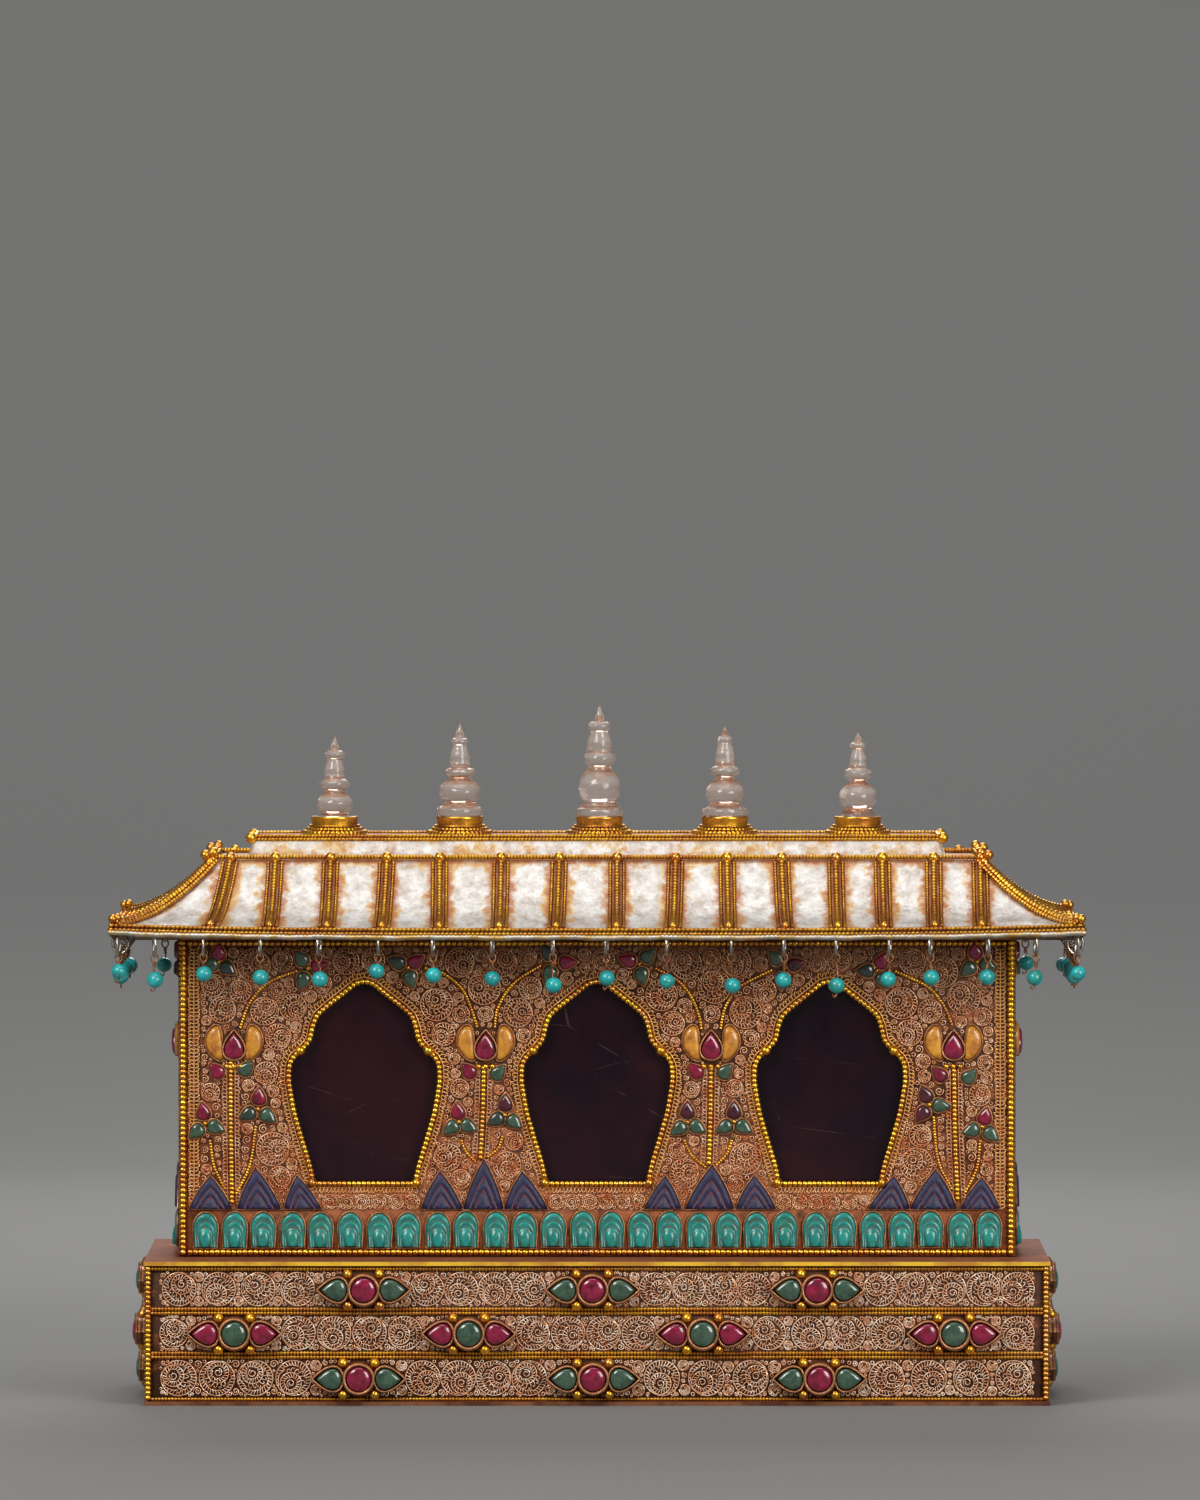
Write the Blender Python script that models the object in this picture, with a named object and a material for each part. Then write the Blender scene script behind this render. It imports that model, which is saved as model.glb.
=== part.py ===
"""A house-shaped altar box of gilt filigree on an oblong plinth.

The roof is hipped and flared, with five rock-crystal finials in gilt cups. Three cusped windows look
into an empty chamber. Everything is in metres, +Z up, the front faces -Y, and the origin is on the
surface that the plinth stands on, below its middle.
"""

import math

import bmesh
import bpy
from mathutils import Matrix, Vector

MM = 0.001

# Gap kept between pieces that rest on or against each other
REST_GAP = 0.3 * MM
# Depth that a fused ornament sinks into what carries it
ROOT = 0.6 * MM

# House. Its bays set its width: a window, the bay beside it, and the outer bay at each corner.
WINDOW_SPACING = 85.9 * MM
INNER_BAY_X = WINDOW_SPACING / 2
WINDOW_TO_OUTER_BAY = 46.8 * MM
OUTER_BAY_X = WINDOW_SPACING + WINDOW_TO_OUTER_BAY
OUTER_BAY_TO_CORNER = 21.8 * MM
HOUSE_WIDTH = 2 * (OUTER_BAY_X + OUTER_BAY_TO_CORNER)
HOUSE_DEPTH = 72.4 * MM
HOUSE_HEIGHT = 117.8 * MM
HOUSE_WALL = 2.5 * MM
HOUSE_RELIEF = 2.0 * MM
BORDER_WIDTH = 2.8 * MM
BORDER_PROUD = 1.7 * MM
# How much further out the upright mouldings stand than the level ones that they cross
UPRIGHT_EXTRA = 0.1 * MM

# Plinth, which stands out past the house on all sides
PLINTH_STEP_X = 12.0 * MM
PLINTH_STEP_Y = 23.8 * MM
PLINTH_WIDTH = HOUSE_WIDTH + 2 * PLINTH_STEP_X
PLINTH_DEPTH = HOUSE_DEPTH + 2 * PLINTH_STEP_Y
PLINTH_HEIGHT = 53.0 * MM
BASE_PLATE_THICKNESS = 1.5 * MM
TOP_PLATE_THICKNESS = 1.5 * MM
PLINTH_WALL = 2.5 * MM
PLINTH_RELIEF = 2.4 * MM
# Heights of the two rope mouldings and of the three rows of stones between them
MIDDLE_ROW_Z = PLINTH_HEIGHT / 2
ROPE_FROM_MIDDLE = 8.1 * MM
LOWER_ROPE_Z = MIDDLE_ROW_Z - ROPE_FROM_MIDDLE
UPPER_ROPE_Z = MIDDLE_ROW_Z + ROPE_FROM_MIDDLE
OUTER_ROW_FROM_MIDDLE = 16.1 * MM
LOW_ROW_Z = MIDDLE_ROW_Z - OUTER_ROW_FROM_MIDDLE
TOP_ROW_Z = MIDDLE_ROW_Z + OUTER_ROW_FROM_MIDDLE
ROPE_WIDTH = 3.0 * MM
ROPE_PROUD = 1.9 * MM
# The stones' places along the front: in the outer rows, and in the middle row
OUTER_ROW_SPACING = 84.0 * MM
MIDDLE_ROW_X = (INNER_BAY_X, PLINTH_WIDTH / 2 - 34.3 * MM)
# How far each cluster of the front, set by hand, stands from its regular place
TOP_ROW_SHIFTS = (-1.7 * MM, -1.7 * MM, -3.2 * MM)
MIDDLE_ROW_SHIFTS = (-1.0 * MM, -4.2 * MM, -4.2 * MM, -1.0 * MM)
LOW_ROW_SHIFTS = (-3.5 * MM, -1.4 * MM, -2.3 * MM)
SIDE_CLUSTER_FROM_CORNER = 24.0 * MM
SIDE_CLUSTER_Y = PLINTH_DEPTH / 2 - SIDE_CLUSTER_FROM_CORNER

# A cluster: a round stone with a drop on each side
ROUND_STONE_RADIUS = 5.8 * MM
DROP_LENGTH = 10.2 * MM
DROP_WIDTH = 8.6 * MM
CLUSTER_GAP = 0.5 * MM
# How far the stones of a cluster stand out from their panel, well past the ropes
STONE_PROUD = 7.4 * MM
STONE_TAPER = 0.72

# Windows
WINDOW_SILL_RISE = 27.1 * MM
WINDOW_SILL_Z = PLINTH_HEIGHT + WINDOW_SILL_RISE
WINDOW_FOOT_HALF = 18.75 * MM
WINDOW_SHOULDER_HALF = 27.9 * MM
WINDOW_CUSP_HALF = 21.8 * MM
WINDOW_LOBE_HALF = 17.6 * MM
# The window's peak stands below the eave, and its lobe, cusp and shoulder step down from the peak
PEAK_UNDER_EAVE = 15.8 * MM
LOBE_UNDER_PEAK = 12.8 * MM
CUSP_UNDER_LOBE = 11.5 * MM
SHOULDER_UNDER_CUSP = 12.6 * MM
WINDOW_PEAK_RISE = HOUSE_HEIGHT - WINDOW_SILL_RISE - PEAK_UNDER_EAVE
WINDOW_LOBE_RISE = WINDOW_PEAK_RISE - LOBE_UNDER_PEAK
WINDOW_CUSP_RISE = WINDOW_LOBE_RISE - CUSP_UNDER_LOBE
WINDOW_SHOULDER_RISE = WINDOW_CUSP_RISE - SHOULDER_UNDER_CUSP
FRAME_WIDTH = 2.4 * MM
FRAME_PROUD = 1.8 * MM
PANE_THICKNESS = 1.5 * MM
PANE_MARGIN = 3.0 * MM

# Inlay on the house
FRONT_PETALS = 28
SIDE_PETALS = 5
PETAL_ROW_MARGIN = 4.4 * MM
PETAL_GAP = 1.9 * MM
PETAL_HEIGHT = 12.6 * MM
PETAL_FOOT_Z = PLINTH_HEIGHT + 3.8 * MM
TRIANGLE_FOOT_Z = PETAL_FOOT_Z + PETAL_HEIGHT + 1.5 * MM
TRIANGLE_WIDTH = 15.2 * MM
TRIANGLE_GAP = 0.8 * MM
TRIANGLE_PITCH = TRIANGLE_WIDTH + TRIANGLE_GAP
TRIANGLE_HEIGHT = 12.0 * MM
MIDDLE_TRIANGLE_HEIGHT = 15.6 * MM
# The outer groups of triangles stand nearer to the windows than the lotuses above them
OUTER_TRIANGLES_SHIFT = 7.1 * MM
LOTUS_OVER_CUSP = 0.7 * MM
LOTUS_RISE = WINDOW_CUSP_RISE + LOTUS_OVER_CUSP
LOTUS_Z = WINDOW_SILL_Z + LOTUS_RISE
LOTUS_HEART_WIDTH = 9.6 * MM
LOTUS_HEART_HEIGHT = 12.6 * MM
LOTUS_PETAL_WIDTH = 6.2 * MM
LOTUS_PETAL_HEIGHT = 12.0 * MM
LOTUS_PETAL_TILT = math.radians(24.0)
LEAF_LENGTH = 5.6 * MM
LEAF_WIDTH = 4.2 * MM
LEAF_FROM_CENTRE = 3.9 * MM
LEAF_PAIR_SPREAD = 5.6 * MM
LEAF_PAIR_DROP = 9.9 * MM
# Triplets of leaves: how far from the middle of their bay, and how far below the eave or what share of the
# lotus's height above the sill
HIGH_TRIPLETS = (
    (INNER_BAY_X, -27.2 * MM, 9.3 * MM),
    (INNER_BAY_X, 26.5 * MM, 10.8 * MM),
    (OUTER_BAY_X, -27.7 * MM, 11.6 * MM),
    (OUTER_BAY_X, 7.9 * MM, 8.2 * MM),
)
LOW_TRIPLETS = (
    (INNER_BAY_X, -9.5 * MM, 0.470),
    (INNER_BAY_X, 8.0 * MM, 0.446),
    (OUTER_BAY_X, -8.9 * MM, 0.556),
    (OUTER_BAY_X, 10.5 * MM, 0.427),
)
SIDE_TRIPLET_DROP = 9.0 * MM
# How much further out the stones of the short walls stand than those of the front
SIDE_STONES_LIFT = 2.3 * MM

# Roof, whose eave stands out past the house
EAVE_OVERHANG_X = 25.5 * MM
EAVE_OVERHANG_Y = 24.3 * MM
ROOF_WIDTH = HOUSE_WIDTH + 2 * EAVE_OVERHANG_X
ROOF_DEPTH = HOUSE_DEPTH + 2 * EAVE_OVERHANG_Y
EAVE_UNDERSIDE_Z = PLINTH_HEIGHT + HOUSE_HEIGHT
EAVE_PLATE_THICKNESS = 1.2 * MM
EAVE_ROLL_HEIGHT = 3.0 * MM
EAVE_ROLL_INSET = 1.6 * MM
EAVE_ROLL_BEVEL = 0.9 * MM
CORNER_LIFT = 1.8 * MM
ROOF_SHEET = 1.5 * MM
SLOPE_RUN_X = 38.5 * MM
SLOPE_RUN_Y = 28.5 * MM
LEDGE_WIDTH = ROOF_WIDTH - 2 * SLOPE_RUN_X
LEDGE_DEPTH = ROOF_DEPTH - 2 * SLOPE_RUN_Y
LEDGE_Z = EAVE_UNDERSIDE_Z + 28.8 * MM
LEDGE_ROPE = 2.4 * MM
FLARE_POWER = 1.7
FLARE_SHARES = (0.0, 0.1, 0.25, 0.45, 0.7, 1.0)
PLATFORM_STEP = 12.0 * MM
PLATFORM_WIDTH = LEDGE_WIDTH - 2 * PLATFORM_STEP
PLATFORM_DEPTH = LEDGE_DEPTH - 2 * PLATFORM_STEP
PLATFORM_BATTER = 2.4 * MM
PLATFORM_TOP_Z = LEDGE_Z + 7.9 * MM
RIB_WIDTH = 5.4 * MM
RIB_PROUD = 1.5 * MM
FRONT_RIBS = 15
SIDE_RIBS = 4
# From a corner to the middle of the rib next to it, at the ledge and at the eave
RIB_FROM_LEDGE_CORNER = 6.0 * MM
RIB_FROM_EAVE_CORNER = 38.6 * MM
SIDE_RIB_FROM_EAVE_CORNER = 30.0 * MM
HIP_HALF_WIDTH = 2.2 * MM

# Finials and their cups
FINIAL_FROM_PLATFORM_END = 32.5 * MM
CUP_SIDES = 10
CUP_RIM_RADIUS = 8.8 * MM
CUP_RIM_Z = PLATFORM_TOP_Z + 7.1 * MM
CUP_WALL = 0.9 * MM
CUP_DEPTH = 3.2 * MM
CUP_FLOOR_Z = CUP_RIM_Z - CUP_DEPTH
COLLAR_RADIUS = 12.5 * MM
UPPER_COLLAR_RADIUS = 10.5 * MM
COLLAR_HEIGHT = 1.5 * MM
CRYSTAL_SIDES = 8
SEAT_CLEARANCE = 0.4 * MM
CRYSTAL_SEAT_Z = CUP_FLOOR_Z + REST_GAP

# Each crystal is cut and set by hand, so each has its own shift from its regular place, heights above
# its seat, and radii.
CRYSTALS = (
    {"shift": -0.5 * MM, "tip": 32.5 * MM,
     "spike": (27.6 * MM, 1.8 * MM), "knop": (25.8 * MM, 3.9 * MM),
     "spindle": (18.9 * MM, 3.9 * MM), "ring": (14.9 * MM, 5.7 * MM), "neck": (11.8 * MM, 3.5 * MM),
     "bulb": (7.8 * MM, 6.85 * MM), "waist": (3.5 * MM, 5.0 * MM)},
    {"shift": -2.5 * MM, "tip": 37.5 * MM,
     "spike": (32.1 * MM, 1.9 * MM), "knop": (30.8 * MM, 3.5 * MM),
     "spindle": (22.8 * MM, 3.9 * MM), "ring": (19.2 * MM, 5.8 * MM), "neck": (16.7 * MM, 3.8 * MM),
     "bulb": (12.1 * MM, 8.1 * MM), "waist": (7.1 * MM, 6.3 * MM)},
    {"shift": 0.9 * MM, "tip": 44.3 * MM,
     "spike": (38.1 * MM, 2.0 * MM), "knop": (36.3 * MM, 4.2 * MM),
     "spindle": (27.8 * MM, 4.9 * MM), "ring": (24.1 * MM, 6.1 * MM), "neck": (20.8 * MM, 4.2 * MM),
     "bulb": (14.3 * MM, 8.0 * MM), "waist": (6.7 * MM, 7.2 * MM)},
    {"shift": -1.0 * MM, "tip": 36.5 * MM,
     "spike": (32.5 * MM, 1.6 * MM), "knop": (30.9 * MM, 2.9 * MM),
     "spindle": (23.3 * MM, 3.8 * MM), "ring": (19.7 * MM, 5.5 * MM), "neck": (16.7 * MM, 3.4 * MM),
     "bulb": (11.9 * MM, 7.5 * MM), "waist": (6.7 * MM, 6.3 * MM)},
    {"shift": -0.1 * MM, "tip": 34.1 * MM,
     "spike": (30.5 * MM, 1.6 * MM), "knop": (29.1 * MM, 3.2 * MM),
     "spindle": (22.7 * MM, 3.3 * MM), "ring": (18.6 * MM, 5.4 * MM), "neck": (15.5 * MM, 3.0 * MM),
     "bulb": (10.4 * MM, 7.25 * MM), "waist": (4.7 * MM, 5.6 * MM)},
)
FINIAL_PITCH = (PLATFORM_WIDTH - 2 * FINIAL_FROM_PLATFORM_END) / (len(CRYSTALS) - 1)

# Pendants. Each of the front hangs at its own share of the way from the middle to the corner pendant,
# with its bead's middle at its own depth below the eave.
FRONT_PENDANTS = (
    (-1.0, 11.1 * MM),
    (-0.925, 14.3 * MM),
    (-0.823, 12.1 * MM),
    (-0.705, 13.5 * MM),
    (-0.582, 14.1 * MM),
    (-0.459, 11.1 * MM),
    (-0.344, 12.6 * MM),
    (-0.220, 13.9 * MM),
    (-0.094, 16.3 * MM),
    (0.018, 13.7 * MM),
    (0.144, 14.8 * MM),
    (0.278, 16.5 * MM),
    (0.389, 14.4 * MM),
    (0.498, 16.4 * MM),
    (0.609, 14.1 * MM),
    (0.694, 13.5 * MM),
    (0.814, 13.3 * MM),
    (0.914, 13.5 * MM),
    (1.0, 11.9 * MM),
)
SIDE_PENDANTS = 5
PENDANT_SIDES = 5
PENDANT_INSET = 4.0 * MM
BEAD_RADIUS = 3.05 * MM
# A bead's ends, as shares of its radius: how wide they are, and how far from its middle
BEAD_END_WIDTH = 0.62
BEAD_END_REACH = 0.78
SIDE_BEAD_DROP = 13.8 * MM
STEM_RADIUS = 0.5 * MM


def remove_old_objects():
    """Empties the scene before the box is built."""
    for old in list(bpy.data.objects):
        bpy.data.objects.remove(old, do_unlink=True)


def material(name, colour, roughness, metallic, alpha=1.0):
    """Returns a Principled material of the given colour."""
    made = bpy.data.materials.new(name)
    made.use_nodes = True
    shader = made.node_tree.nodes["Principled BSDF"]
    shader.inputs["Base Color"].default_value = (*colour, 1.0)
    shader.inputs["Roughness"].default_value = roughness
    shader.inputs["Metallic"].default_value = metallic
    shader.inputs["Alpha"].default_value = alpha
    return made


def solid(name, points, faces, finish=None):
    """Makes one closed solid, with its faces turned outwards."""
    shape = bmesh.new()
    corners = [shape.verts.new(point) for point in points]
    for face in faces:
        shape.faces.new([corners[i] for i in face])
    bmesh.ops.triangulate(shape, faces=[f for f in shape.faces if len(f.verts) > 4])
    bmesh.ops.recalc_face_normals(shape, faces=shape.faces)
    mesh = bpy.data.meshes.new(name)
    shape.to_mesh(mesh)
    shape.free()
    if finish:
        mesh.materials.append(finish)
    made = bpy.data.objects.new(name, mesh)
    bpy.context.collection.objects.link(made)
    return made


def block(name, low, high, finish=None):
    """Makes an oblong block between two corners."""
    points = [(x, y, z) for z in (low[2], high[2]) for y in (low[1], high[1]) for x in (low[0], high[0])]
    faces = [(0, 2, 3, 1), (4, 5, 7, 6), (0, 1, 5, 4), (2, 6, 7, 3), (0, 4, 6, 2), (1, 3, 7, 5)]
    return solid(name, points, faces, finish)


def combine(target, tools, operation):
    """Unites the tools with the target, or cuts them out of it, all at once."""
    guide = join_shells(tools)
    step = target.modifiers.new("combine", "BOOLEAN")
    step.operation = operation
    step.solver = "EXACT"
    step.object = guide
    graph = bpy.context.evaluated_depsgraph_get()
    shaped = bpy.data.meshes.new_from_object(target.evaluated_get(graph))
    target.modifiers.clear()
    target.data = shaped
    bpy.data.objects.remove(guide, do_unlink=True)


def join_shells(tools):
    """Gathers separate closed shapes, which don't meet, into one guide object."""
    shape = bmesh.new()
    for tool in tools:
        shape.from_mesh(tool.data)
        bpy.data.objects.remove(tool, do_unlink=True)
    mesh = bpy.data.meshes.new("guide")
    shape.to_mesh(mesh)
    shape.free()
    guide = bpy.data.objects.new("guide", mesh)
    guide.display_type = "WIRE"
    guide.hide_render = True
    bpy.context.collection.objects.link(guide)
    return guide


def frustum(outline, foot, top, shrink):
    """A stone on the plane of a wall: its outline, drawn in by a share towards its middle at the top.

    It lies in the wall's own axes: across, up, and out of the wall.
    """
    count = len(outline)
    middle_u = sum(u for u, _ in outline) / count
    middle_v = sum(v for _, v in outline) / count
    points = [(u, v, foot) for u, v in outline]
    points += [(middle_u + (u - middle_u) * shrink, middle_v + (v - middle_v) * shrink, top)
               for u, v in outline]
    faces = [tuple(range(count)), tuple(range(2 * count - 1, count - 1, -1))]
    for i in range(count):
        after = (i + 1) % count
        faces.append((i, after, count + after, count + i))
    return solid("stone", points, faces)


def ridge(start, end, width, proud):
    """A straight moulding on the plane of a wall, with slanted sides, between two points."""
    along = Vector((end[0] - start[0], end[1] - start[1], 0.0)).normalized()
    across = Vector((-along.y, along.x, 0.0))
    points = []
    for place in (start, end):
        base = Vector((place[0], place[1], 0.0))
        points.append(base - across * (width / 2) + Vector((0, 0, -ROOT)))
        points.append(base + across * (width / 2) + Vector((0, 0, -ROOT)))
        points.append(base + across * (width / 4) + Vector((0, 0, proud)))
        points.append(base - across * (width / 4) + Vector((0, 0, proud)))
    faces = [(0, 1, 2, 3), (4, 7, 6, 5), (0, 4, 5, 1), (1, 5, 6, 2), (2, 6, 7, 3), (3, 7, 4, 0)]
    return solid("moulding", points, faces)


def uprights(edge, low, high, width, proud):
    """Two upright mouldings, one at each end of a wall, that stand a little over the level ones."""
    return [ridge((side * edge, low), (side * edge, high), width, proud + UPRIGHT_EXTRA) for side in (-1, 1)]


def turned(centre, outline, tilt):
    """Turns an outline about its own origin and moves it to its centre."""
    cosine = math.cos(tilt)
    sine = math.sin(tilt)
    return [(centre[0] + u * cosine - v * sine, centre[1] + u * sine + v * cosine) for u, v in outline]


def round_outline(radius, sides):
    """A regular outline about the origin."""
    return [(radius * math.cos(math.tau * i / sides), radius * math.sin(math.tau * i / sides))
            for i in range(sides)]


def drop_outline(length, width):
    """A drop that points along +V: round below its middle and drawn to a point above."""
    half = width / 2
    foot = -length / 2
    return [(0.0, length / 2), (-half, foot + 0.42 * length), (-0.62 * half, foot + 0.08 * length),
            (0.62 * half, foot + 0.08 * length), (half, foot + 0.42 * length)]


def kite_outline(length, width):
    """A small leaf that points along +V."""
    return [(0.0, length / 2), (-width / 2, -0.1 * length), (0.0, -length / 2), (width / 2, -0.1 * length)]


def arch_outline(width, height):
    """A petal with a flat foot at the origin and a round head."""
    half = width / 2
    return [(-half, 0.0), (half, 0.0), (half, 0.55 * height), (0.0, height), (-half, 0.55 * height)]


def cluster(centre):
    """A round stone with a drop on each side of it, each pointing away."""
    reach = ROUND_STONE_RADIUS + CLUSTER_GAP + DROP_LENGTH / 2
    stones = [turned(centre, round_outline(ROUND_STONE_RADIUS, 8), math.pi / 8)]
    for side in (-1, 1):
        place = (centre[0] + side * reach, centre[1])
        stones.append(turned(place, drop_outline(DROP_LENGTH, DROP_WIDTH), -side * math.pi / 2))
    return [frustum(outline, -ROOT, STONE_PROUD, STONE_TAPER) for outline in stones]


def triplet(centre, tilt, lift=0.0):
    """Three small leaves that point away from their centre."""
    stones = []
    for i in range(3):
        angle = tilt + math.tau * i / 3
        place = (centre[0] - LEAF_FROM_CENTRE * math.sin(angle),
                 centre[1] + LEAF_FROM_CENTRE * math.cos(angle))
        outline = turned(place, kite_outline(LEAF_LENGTH, LEAF_WIDTH), angle)
        stones.append(frustum(outline, -ROOT, HOUSE_RELIEF - REST_GAP + lift, 0.5))
    return stones


def lotus(centre):
    """A drop between two leaning petals, over a pair of small leaves."""
    proud = HOUSE_RELIEF
    heart = turned(centre, drop_outline(LOTUS_HEART_HEIGHT, LOTUS_HEART_WIDTH), 0.0)
    stones = [frustum(heart, -ROOT, proud, 0.6)]
    for side in (-1, 1):
        reach = LOTUS_HEART_WIDTH / 2 + LOTUS_PETAL_WIDTH / 2
        place = (centre[0] + side * reach, centre[1] + REST_GAP)
        leaning = turned(place, kite_outline(LOTUS_PETAL_HEIGHT, LOTUS_PETAL_WIDTH), -side * LOTUS_PETAL_TILT)
        stones.append(frustum(leaning, -ROOT, proud, 0.6))
        place = (centre[0] + side * LEAF_PAIR_SPREAD, centre[1] - LEAF_PAIR_DROP)
        leaf = turned(place, kite_outline(LEAF_LENGTH, LEAF_WIDTH), side * math.radians(60.0))
        stones.append(frustum(leaf, -ROOT, proud, 0.5))
    return stones


def petal_row(count, half_width, lift=0.0):
    """The row of arched petals at a wall's foot."""
    pitch = 2 * (half_width - PETAL_ROW_MARGIN) / count
    start = -pitch * (count - 1) / 2
    outline = arch_outline(pitch - PETAL_GAP, PETAL_HEIGHT)
    return [frustum([(start + i * pitch + u, PETAL_FOOT_Z + v) for u, v in outline],
                    -ROOT, HOUSE_RELIEF + lift, 0.6) for i in range(count)]


def triangle_group(centre_u, lift=0.0):
    """Three triangles side by side, the middle one taller."""
    stones = []
    for i in (-1, 0, 1):
        height = TRIANGLE_HEIGHT if i else MIDDLE_TRIANGLE_HEIGHT
        middle = centre_u + i * TRIANGLE_PITCH
        half = TRIANGLE_WIDTH / 2
        outline = [(middle - half, TRIANGLE_FOOT_Z), (middle + half, TRIANGLE_FOOT_Z),
                   (middle, TRIANGLE_FOOT_Z + height)]
        stones.append(frustum(outline, -ROOT, HOUSE_RELIEF - REST_GAP + lift, 0.55))
    return stones


def window_outline(centre_u, spread):
    """A cusped arch about a centre, moved outwards by a distance all round."""
    half = [
        (WINDOW_FOOT_HALF, 0.0),
        ((WINDOW_FOOT_HALF + WINDOW_SHOULDER_HALF) / 2 + 1.0 * MM, WINDOW_SHOULDER_RISE / 2),
        (WINDOW_SHOULDER_HALF, WINDOW_SHOULDER_RISE),
        (WINDOW_SHOULDER_HALF - 0.6 * MM, (WINDOW_SHOULDER_RISE + WINDOW_CUSP_RISE) / 2 + 0.8 * MM),
        (WINDOW_CUSP_HALF, WINDOW_CUSP_RISE),
        (WINDOW_LOBE_HALF + 1.4 * MM, WINDOW_LOBE_RISE - 3.8 * MM),
        (WINDOW_LOBE_HALF, WINDOW_LOBE_RISE),
        (WINDOW_LOBE_HALF / 2, (WINDOW_LOBE_RISE + WINDOW_PEAK_RISE) / 2 + 1.0 * MM),
        (0.0, WINDOW_PEAK_RISE),
    ]
    whole = half + [(-u, v) for u, v in reversed(half[:-1])]
    count = len(whole)
    moved = []
    for i, (u, v) in enumerate(whole):
        before = Vector(whole[i - 1])
        after = Vector(whole[(i + 1) % count])
        here = Vector((u, v))
        first = (here - before).normalized()
        second = (after - here).normalized()
        outward = Vector((first.y + second.y, -first.x - second.x)).normalized()
        square = outward.dot(Vector((second.y, -second.x)))
        moved.append(here + outward * (spread / max(square, 0.5)))
    return [(centre_u + p.x, WINDOW_SILL_Z + p.y) for p in moved]


def window_frame(centre_u):
    """The raised frame along a window's edge: a closed ring with slanted sides."""
    loops = [(window_outline(centre_u, -FRAME_WIDTH / 2), -ROOT),
             (window_outline(centre_u, FRAME_WIDTH / 2), -ROOT),
             (window_outline(centre_u, FRAME_WIDTH / 4), FRAME_PROUD),
             (window_outline(centre_u, -FRAME_WIDTH / 4), FRAME_PROUD)]
    count = len(loops[0][0])
    points = [(u, v, w) for outline, w in loops for u, v in outline]
    faces = []
    for ring in range(4):
        following = (ring + 1) % 4
        for i in range(count):
            after = (i + 1) % count
            faces.append((ring * count + i, ring * count + after,
                          following * count + after, following * count + i))
    return solid("frame", points, faces)


def place_on(wall, facing, face_distance):
    """Stands a wall, made flat in its own axes, on the side that it faces."""
    across, out = {
        "front": (Vector((1, 0, 0)), Vector((0, -1, 0))),
        "back": (Vector((-1, 0, 0)), Vector((0, 1, 0))),
        "left": (Vector((0, -1, 0)), Vector((-1, 0, 0))),
        "right": (Vector((0, 1, 0)), Vector((1, 0, 0))),
    }[facing]
    place = Matrix((
        (across.x, 0.0, out.x, out.x * face_distance),
        (across.y, 0.0, out.y, out.y * face_distance),
        (0.0, 1.0, 0.0, 0.0),
        (0.0, 0.0, 0.0, 1.0),
    ))
    wall.data.transform(place)


def finished(wall, name, finish):
    """Names a built wall and gives it one material."""
    wall.name = name
    wall.data.name = name
    wall.data.materials.clear()
    wall.data.materials.append(finish)
    for face in wall.data.polygons:
        face.material_index = 0


def plinth_panel(name, facing, half_width, borders, clusters, face_distance, finish):
    """One side of the plinth: a plate with mouldings round it and between its rows of stones."""
    low = BASE_PLATE_THICKNESS + REST_GAP
    high = PLINTH_HEIGHT - TOP_PLATE_THICKNESS - REST_GAP
    panel = block(name, (-half_width, low, -PLINTH_WALL), (half_width, high, 0.0))
    inset = ROPE_WIDTH / 2 + REST_GAP
    levels = (low + inset, LOWER_ROPE_Z, UPPER_ROPE_Z, high - inset)
    reach = half_width - REST_GAP
    combine(panel, [ridge((-reach, v), (reach, v), ROPE_WIDTH, ROPE_PROUD) for v in levels], "UNION")
    if borders:
        foot, head = low + inset / 2, high - inset / 2
        combine(panel, uprights(half_width - inset, foot, head, ROPE_WIDTH, ROPE_PROUD), "UNION")
    stones = [stone for place in clusters for stone in cluster(place)]
    if stones:
        combine(panel, stones, "UNION")
    place_on(panel, facing, face_distance)
    finished(panel, name, finish)
    return panel


def plinth(gilt, copper):
    """The hollow plinth: two plates and four panels."""
    half_x = PLINTH_WIDTH / 2
    half_y = PLINTH_DEPTH / 2
    block("plinth_base_plate", (-half_x, -half_y, 0.0), (half_x, half_y, BASE_PLATE_THICKNESS), copper)
    block("plinth_top_plate", (-half_x, -half_y, PLINTH_HEIGHT - TOP_PLATE_THICKNESS),
          (half_x, half_y, PLINTH_HEIGHT), copper)
    face_y = half_y - PLINTH_RELIEF
    face_x = half_x - PLINTH_RELIEF
    outer_places = [i * OUTER_ROW_SPACING for i in (-1, 0, 1)]
    middle_places = sorted(side * x for x in MIDDLE_ROW_X for side in (-1, 1))
    back_rows = [(x, MIDDLE_ROW_Z) for x in middle_places]
    long_rows = [(x + shift, TOP_ROW_Z) for x, shift in zip(outer_places, TOP_ROW_SHIFTS)]
    long_rows += [(x + shift, MIDDLE_ROW_Z) for x, shift in zip(middle_places, MIDDLE_ROW_SHIFTS)]
    long_rows += [(x + shift, LOW_ROW_Z) for x, shift in zip(outer_places, LOW_ROW_SHIFTS)]
    short_rows = [(0.0, TOP_ROW_Z), (-SIDE_CLUSTER_Y, MIDDLE_ROW_Z), (SIDE_CLUSTER_Y, MIDDLE_ROW_Z),
                  (0.0, LOW_ROW_Z)]
    plinth_panel("plinth_front_panel", "front", face_x, True, long_rows, face_y, gilt)
    plinth_panel("plinth_back_panel", "back", face_x, True, back_rows, face_y, gilt)
    between = face_y - PLINTH_WALL - REST_GAP
    plinth_panel("plinth_left_panel", "left", between, False, short_rows, face_x, gilt)
    plinth_panel("plinth_right_panel", "right", between, False, short_rows, face_x, gilt)


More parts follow.
